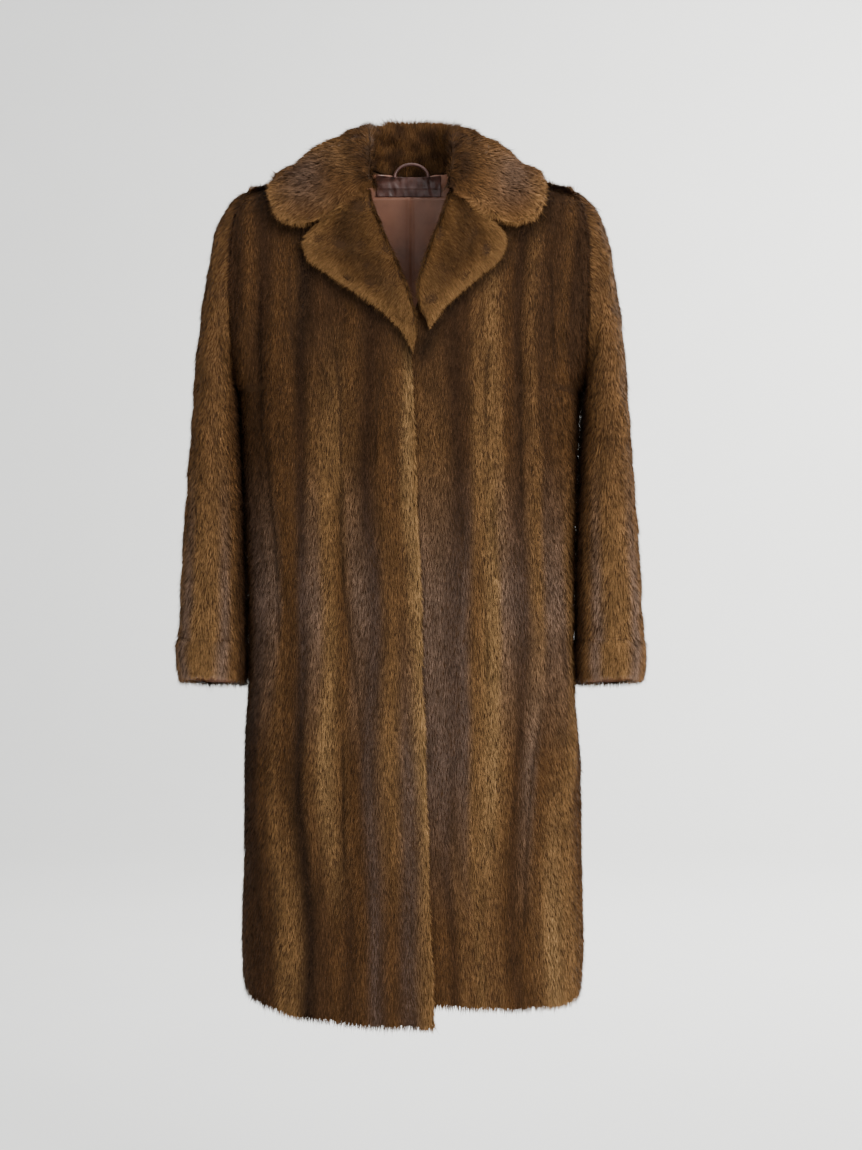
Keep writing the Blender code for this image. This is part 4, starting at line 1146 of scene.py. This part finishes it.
def build_band():
    """The leather band over the neck seam: two strips meeting along a line, and small wrinkles."""
    v, u = np.meshgrid(np.linspace(0, 1, 26), np.linspace(0, 1, 91), indexing="ij")
    x = BAND_X[0] + (BAND_X[1] - BAND_X[0]) * u
    z = BAND_Z[0] + (BAND_Z[1] - BAND_Z[0]) * v
    strip = ease(0.56, 0.60, v) - 2 * np.exp(-((v - 0.58) / 0.02) ** 2)
    rng = np.random.default_rng(62)
    wrinkle = 0.00035 * waves(rng, np.stack((x, 0 * x, z * 0.6), -1), 0.012)
    near = WALL + BOWED + np.clip(0.0007 - 0.0004 * strip + wrinkle, 0.0, 0.0014)
    outer, inner = back_point(x, z, -near), back_point(x, z, -near - BAND * 0.55)
    piece = wall("neck_band_leather", outer, inner)
    face_out(piece, normals_of(outer)[13, 45, 1] > 0)
    piece.data.materials.append(finish_for("leather"))
    piece.data.materials.append(finish_for("leather"))
    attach(piece, "root")
    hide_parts("neck_band")


def build_loop():
    """A rolled strap bent to an arch, slightly ridged along its length and thicker at its feet."""
    t = np.linspace(0, math.pi, 61)
    rise = LOOP_RADIUS - LOOP_FOOT_Z
    centres = np.stack((-LOOP_HALF * np.cos(t), 0 * t, LOOP_FOOT_Z + rise * np.sin(t)), -1)
    radius = LOOP_RADIUS * (1 + 0.05 * np.sin(t * 37) + 0.12 * np.exp(-(np.sin(t) / 0.25) ** 2))
    piece = tube_along("hanging_loop_strap", centres, radius * 0.97)
    piece.data.materials.append(finish_for("leather"))
    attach(piece, "root")
    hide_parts("hanging_loop")


# ---------------------------------------------------------------- stage

def stage_material():
    finish, tree, shader = nodes_of("pale_plaster")
    place = put(tree, "ShaderNodeTexCoord")
    noise = put(tree, "ShaderNodeTexNoise", Scale=3.0, Detail=3.0)
    tree.links.new(place.outputs["Object"], noise.inputs["Vector"])
    ramp = put(tree, "ShaderNodeValToRGB")
    ramp.color_ramp.elements[0].color = (0.84, 0.84, 0.82, 1.0)
    ramp.color_ramp.elements[1].color = (0.88, 0.88, 0.865, 1.0)
    tree.links.new(noise.outputs["Fac"], ramp.inputs["Fac"])
    tree.links.new(ramp.outputs["Color"], shader.inputs["Base Color"])
    shader.inputs["Roughness"].default_value = 0.9
    return finish


def build_stage(floor_z, wall_y):
    """A pale floor that curves up into a wall, far enough behind to walk round the coat."""
    turn = np.linspace(0, math.pi / 2, 24)
    radius = 1.2
    profile = [(-9.0, floor_z)]
    profile += [(wall_y - radius + radius * math.sin(a), floor_z + radius - radius * math.cos(a))
                for a in turn]
    profile.append((wall_y, 5.0))
    xs = np.linspace(-9.0, 9.0, 13)
    points = np.array([[(x, y, z) for x in xs] for y, z in profile])
    rows, columns = points.shape[:2]
    index = np.arange(rows * columns).reshape(rows, columns)
    faces = np.stack((index[:-1, :-1].ravel(), index[:-1, 1:].ravel(), index[1:, 1:].ravel(),
                      index[1:, :-1].ravel()), -1)
    floor = new_object("studio_floor", points.reshape(-1, 3), faces)
    floor.data.materials.append(stage_material())


def add_light(name, place, target, size, power, colour):
    data = bpy.data.lights.new(name, "AREA")
    data.shape = "RECTANGLE"
    data.size, data.size_y = size
    data.energy, data.color = power, colour
    lamp = bpy.data.objects.new(name, data)
    bpy.context.scene.collection.objects.link(lamp)
    lamp.location = place
    aim = np.array(target) - np.array(place)
    aim = aim / np.linalg.norm(aim)
    lamp.rotation_euler = (math.acos(-aim[2]), 0.0, math.atan2(aim[1], aim[0]) - math.pi / 2)


def build_lights(power):
    for name, place, target, size, watts, colour in (
            ("window_light", (1.9, -2.6, 0.9), (0.0, 0.0, -0.5), (1.6, 1.9), 132, (1.0, 0.985, 0.96)),
            ("front_fill", (-1.6, -3.2, 0.3), (0.0, 0.0, -0.6), (2.2, 2.2), 30, (0.97, 0.98, 1.0)),
            ("top_light", (0.2, -0.6, 2.4), (0.0, 0.0, -0.4), (2.4, 1.6), 40, (1.0, 1.0, 1.0)),
            ("back_fill", (0.4, 2.6, 1.2), (0.0, 0.0, -0.5), (2.2, 1.8), 45, (1.0, 1.0, 1.0)),
            ("wall_light", (3.2, 1.6, 1.6), (0.8, 5.0, -0.6), (2.0, 2.0), 400, (1.0, 0.995, 0.97))):
        add_light(name, place, target, size, watts * power, colour)
    world = bpy.context.scene.world or bpy.data.worlds.new("studio")
    bpy.context.scene.world = world
    world.use_nodes = True
    shade = world.node_tree.nodes.get("Background") or world.node_tree.nodes.new("ShaderNodeBackground")
    shade.inputs["Color"].default_value = (0.95, 0.97, 1.0, 1.0)
    shade.inputs["Strength"].default_value = 0.73


def build_camera():
    distance, tall, aim_y = 2.15, 1.4375, -0.05
    data = bpy.data.cameras.new("camera")
    data.sensor_fit, data.sensor_width = "AUTO", 36.0
    data.lens = 36.0 * distance / tall
    camera = bpy.data.objects.new("camera", data)
    bpy.context.scene.collection.objects.link(camera)
    camera.location = (0.025, aim_y - distance, -0.523)
    camera.rotation_euler = (math.pi / 2, 0.0, 0.0)
    bpy.context.scene.camera = camera


# ---------------------------------------------------------------- add-on

class CoatProperties(bpy.types.PropertyGroup):
    front_hairs: bpy.props.IntProperty(
        name="Hairs on each front", description="Hairs planted on each front", default=160000, min=1000)
    back_hairs: bpy.props.IntProperty(
        name="Hairs on the back", description="Hairs planted on the back", default=135000, min=1000)
    sleeve_hairs: bpy.props.IntProperty(
        name="Hairs on each sleeve", description="Hairs planted on each sleeve", default=78000, min=1000)
    cuff_hairs: bpy.props.IntProperty(
        name="Hairs on each cuff", description="Hairs planted on each cuff", default=15000, min=500)
    collar_hairs: bpy.props.IntProperty(
        name="Hairs on the collar", description="Hairs planted on the collar", default=85000, min=1000)
    lapel_hairs: bpy.props.IntProperty(
        name="Hairs on each lapel", description="Hairs planted on each lapel", default=24000, min=500)
    hair_length: bpy.props.FloatProperty(
        name="Hair length", description="Length of the hair on the body, sleeves and lapels",
        default=0.0095, min=0.001, precision=4, unit="LENGTH")
    collar_hair_length: bpy.props.FloatProperty(
        name="Collar hair length", description="Length of the hair on the collar",
        default=0.0100, min=0.001, precision=4, unit="LENGTH")
    underfur_colour: bpy.props.FloatVectorProperty(
        name="Underfur", description="Colour of the short fur on the skin", default=(0.050, 0.024, 0.010),
        subtype="COLOR")
    satin_colour: bpy.props.FloatVectorProperty(
        name="Satin", description="Colour of the lining", default=(0.215, 0.090, 0.050), subtype="COLOR")
    leather_colour: bpy.props.FloatVectorProperty(
        name="Leather", description="Colour of the neck band and loop", default=(0.075, 0.030, 0.022),
        subtype="COLOR")


class StageProperties(bpy.types.PropertyGroup):
    floor_height: bpy.props.FloatProperty(
        name="Floor height", description="Height of the floor", default=-1.5, unit="LENGTH")
    wall_distance: bpy.props.FloatProperty(
        name="Wall distance", description="How far behind the coat the wall stands", default=5.0,
        unit="LENGTH")
    light_power: bpy.props.FloatProperty(
        name="Light", description="Strength of all the lights", default=1.0, subtype="FACTOR")


class COAT_OT_fronts(bpy.types.Operator):
    """Make the two fronts with their fur"""
    bl_idname, bl_label = "coat.fronts", "Fronts"

    def execute(self, context):
        build_fronts(context.scene.coat)
        return {"FINISHED"}


class COAT_OT_back(bpy.types.Operator):
    """Make the back with its fur"""
    bl_idname, bl_label = "coat.back", "Back"

    def execute(self, context):
        build_back(context.scene.coat)
        return {"FINISHED"}


class COAT_OT_sleeves(bpy.types.Operator):
    """Make the two sleeves with their fur"""
    bl_idname, bl_label = "coat.sleeves", "Sleeves"

    def execute(self, context):
        build_sleeves(context.scene.coat)
        return {"FINISHED"}


class COAT_OT_cuffs(bpy.types.Operator):
    """Make the two cuffs with their fur"""
    bl_idname, bl_label = "coat.cuffs", "Cuffs"

    def execute(self, context):
        build_cuffs(context.scene.coat)
        return {"FINISHED"}


class COAT_OT_collar(bpy.types.Operator):
    """Make the collar with its fur"""
    bl_idname, bl_label = "coat.collar", "Collar"

    def execute(self, context):
        build_collar(context.scene.coat)
        return {"FINISHED"}


class COAT_OT_lapels(bpy.types.Operator):
    """Make the two lapels with their fur"""
    bl_idname, bl_label = "coat.lapels", "Lapels"

    def execute(self, context):
        build_lapels(context.scene.coat)
        return {"FINISHED"}


class COAT_OT_inside(bpy.types.Operator):
    """Make the lining, the neck band and the hanging loop"""
    bl_idname, bl_label = "coat.inside", "Lining, neck band and loop"

    def execute(self, context):
        build_lining()
        build_band()
        build_loop()
        return {"FINISHED"}


class COAT_OT_stage(bpy.types.Operator):
    """Make the floor, the lights and the camera"""
    bl_idname, bl_label = "coat.stage", "Stage"

    def execute(self, context):
        stage = context.scene.coat_stage
        build_stage(stage.floor_height, stage.wall_distance)
        build_lights(stage.light_power)
        build_camera()
        return {"FINISHED"}


OPERATORS = (COAT_OT_fronts, COAT_OT_back, COAT_OT_sleeves, COAT_OT_cuffs, COAT_OT_collar,
             COAT_OT_lapels, COAT_OT_inside, COAT_OT_stage)


class COAT_PT_panel(bpy.types.Panel):
    bl_idname, bl_label = "COAT_PT_panel", "Fur coat"
    bl_space_type, bl_region_type, bl_category = "VIEW_3D", "UI", "Fur coat"

    def draw(self, context):
        for operator in OPERATORS:
            self.layout.operator(operator.bl_idname)
        for group in (context.scene.coat, context.scene.coat_stage):
            for key in group.__annotations__:
                self.layout.prop(group, key)


CLASSES = (CoatProperties, StageProperties) + OPERATORS + (COAT_PT_panel,)


def register():
    for kind in CLASSES:
        bpy.utils.register_class(kind)
    bpy.types.Scene.coat = bpy.props.PointerProperty(type=CoatProperties)
    bpy.types.Scene.coat_stage = bpy.props.PointerProperty(type=StageProperties)


def unregister():
    del bpy.types.Scene.coat_stage
    del bpy.types.Scene.coat
    for kind in reversed(CLASSES):
        bpy.utils.unregister_class(kind)


def main():
    register()
    for operator in OPERATORS:
        group, key = operator.bl_idname.split(".")
        getattr(getattr(bpy.ops, group), key)()


if __name__ == "__main__":
    main()
